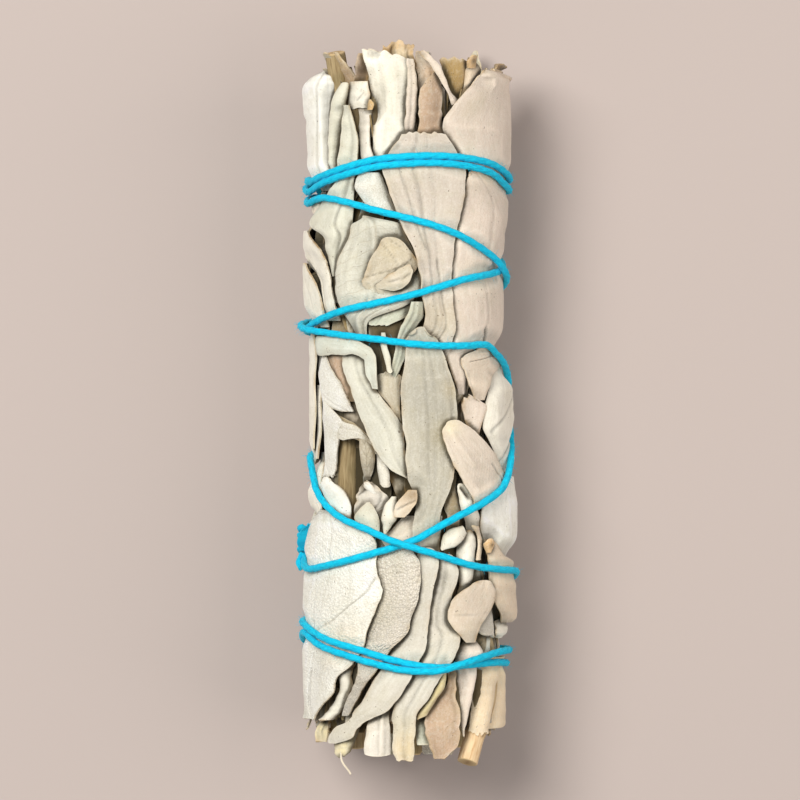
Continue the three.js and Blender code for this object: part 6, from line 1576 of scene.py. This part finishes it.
t = np.linspace(0, KNOT_WRAPS * TURN, 120)
loops = np.array([knot_point(0.78 * math.sin(a) + 0.1, 2.9 - 3.3 * a / t[-1] + 0.25 * math.sin(a + 1),
                             0.85 * math.cos(a) - 1.1) for a in t])
tail = smooth_path([knot_point(0.2, -0.5, 0.2), knot_point(0.7, -1.7, 0.9), knot_point(0.2, -2.8, 2.1)])
for path in (loops, tail):
    path = evenly(path, 0.2 * MM)
    plies += plied(path, KNOT_PLY_RADIUS, KNOT_PLY_OFFSET, np.broadcast_to(knot_out, path.shape) + 0.01)
for k in range(FAN_THREADS):  # the other tail has come apart into a fan of threads
    aside = k / (FAN_THREADS - 1)
    thread = smooth_path(np.array([
        [-14.5, -20.9, 12.4], [-14.2 - 1.25 * aside, -20.0, 13.9 - 0.8 * aside],
        [-13.8 - 1.47 * aside, -18.5, 16.2 - 1.6 * aside],
        [-13.4 - 1.1 * aside + drawn(-0.1, 0.1), -16.7 - 0.5 * aside + drawn(-0.2, 0.2),
         18.2 - 1.8 * aside + drawn(-0.3, 0.3)],
    ]) * MM)
    thread = evenly(thread, 0.25 * MM)
    thick = np.linspace(*THREAD_RADII, len(thread))
    thick[0] = thick[-1] = 0
    plies.append(add_tube("thread", rings(thread, thick * MM, THREAD_SIDES, (0.3, 0.2, 1)), None, (1, 4)))
print("knot tied, with one tail and one fan of threads")

# %% Loose fibres
LOOSE_FIBRES = 1400
FIBRE_RADIUS = 0.018


def loose_fibres(count):
    """Short bent hairs that stand off the string, each a thin three-sided sliver."""
    at = random.integers(2, len(string_line) - 2, count)
    made_points, made_faces = [], []
    for i in at:
        out = outward[i] / np.linalg.norm(outward[i])
        run = string_line[i + 1] - string_line[i]
        run = run / np.linalg.norm(run)
        aside = np.cross(run, out)
        lean = out * drawn(0.2, 1) + aside * drawn(-1, 1) + run * drawn(-0.8, 0.8)
        lean /= np.linalg.norm(lean)
        long = drawn(0.4, 1.1) * MM
        root = string_line[i] + lean * 0.5 * MM
        bend = run * drawn(-0.25, 0.25) * MM
        middle, tip = root + lean * long * 0.55, root + lean * long + bend
        for point in (root, middle, tip):
            point[2] = max(point[2], 0.05 * MM)
        wide = np.cross(lean, run + 0.01)
        wide = wide / np.linalg.norm(wide) * FIBRE_RADIUS * MM
        high = np.cross(lean, wide)
        high = high / np.linalg.norm(high) * FIBRE_RADIUS * MM
        k = len(made_points)
        for centre, share in ((root, 1.0), (middle, 0.8)):
            made_points += [centre + wide * share, centre - wide * 0.5 * share + high * share,
                            centre - wide * 0.5 * share - high * share]
        made_points.append(tip)
        made_faces += [(k, k + 2, k + 1), (k + 3, k + 4, k + 6), (k + 4, k + 5, k + 6), (k + 5, k + 3, k + 6)]
        for a, b in ((0, 1), (1, 2), (2, 0)):
            made_faces.append((k + a, k + b, k + b + 3, k + a + 3))
    mesh = bpy.data.meshes.new("fibres")
    mesh.from_pydata([tuple(p) for p in made_points], [], made_faces)
    mesh.uv_layers.new(name="UVMap")
    fibres = bpy.data.objects.new("fibres", mesh)
    bpy.context.scene.collection.objects.link(fibres)
    return fibres


plies.append(loose_fibres(LOOSE_FIBRES))
twine = joined(plies, "cotton_twine")
twine.data.materials.clear()
twine.data.materials.append(DYED_COTTON)
twine.data.polygons.foreach_set("material_index", [0] * len(twine.data.polygons))
bpy.ops.object.shade_smooth()
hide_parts("twine")
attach(twine, "root")
print(twine.name, len(twine.data.polygons), "faces")

# %% [markdown]
# ## Floor, light and camera
# The bundle lies on a plain pale floor. A large soft light above and to the left models the leaves. A
# weaker and larger one at the right and the sky fill the shadows. The camera hangs straight above and
# is far away, so the bundle is drawn almost without perspective.

# %% Studio
FLOOR_SIZE = 4  # metres
SKY_COLOUR = (0.97, 0.985, 1, 1)
SKY_STRENGTH = 0.31


def studio_floor():
    deselect()
    bpy.ops.mesh.primitive_plane_add(size=FLOOR_SIZE, location=(0, 0, 0))
    floor = bpy.context.object
    floor.name = "floor"
    material, _, shader = new_material("matt_studio_paper")
    shader.inputs["Base Color"].default_value = rgba("#baaea9")
    shader.inputs["Roughness"].default_value = 0.95
    shader.inputs["Specular IOR Level"].default_value = 0.1
    floor.data.materials.append(material)


def area_light(name, place, size, watts, colour):
    bpy.ops.object.light_add(type="AREA", location=place)
    light = bpy.context.object
    light.name = name
    light.data.size = size
    light.data.energy = watts
    light.data.color = linear(colour)
    aim = -np.array(place) / np.linalg.norm(place)
    light.rotation_euler = (math.acos(-aim[2]), 0, math.atan2(aim[1], aim[0]) - math.pi / 2)


studio_floor()
area_light("key_light", (-0.4, 0.34, 0.92), size=0.5, watts=11, colour="#fffcf6")
area_light("fill_light", (0.8, -0.05, 0.7), size=0.8, watts=4.9, colour="#fff6ee")
world = bpy.data.worlds.new("soft_sky")
world.use_nodes = True
world.node_tree.nodes["Background"].inputs[0].default_value = SKY_COLOUR
world.node_tree.nodes["Background"].inputs[1].default_value = SKY_STRENGTH
bpy.context.scene.world = world
bpy.context.scene.view_settings.view_transform = "Standard"
print("floor and lights are set")

# %% Camera
CAMERA_MIDDLE = (-1.12, 0.42)  # mm
VIEW_WIDTH = 112.0  # mm that the camera sees from side to side, at VIEW_HEIGHT
VIEW_HEIGHT = 20.0  # mm above the floor
CAMERA_HEIGHT = 1220.0
SENSOR = 36.0
bpy.ops.object.camera_add(location=(CAMERA_MIDDLE[0] * MM, CAMERA_MIDDLE[1] * MM, CAMERA_HEIGHT * MM))
camera = bpy.context.object
camera.name = "camera"
camera.data.sensor_width = SENSOR
camera.data.lens = SENSOR * (CAMERA_HEIGHT - VIEW_HEIGHT) / VIEW_WIDTH
camera.data.clip_end = 10
bpy.context.scene.camera = camera
print("camera lens:", round(camera.data.lens), "mm")
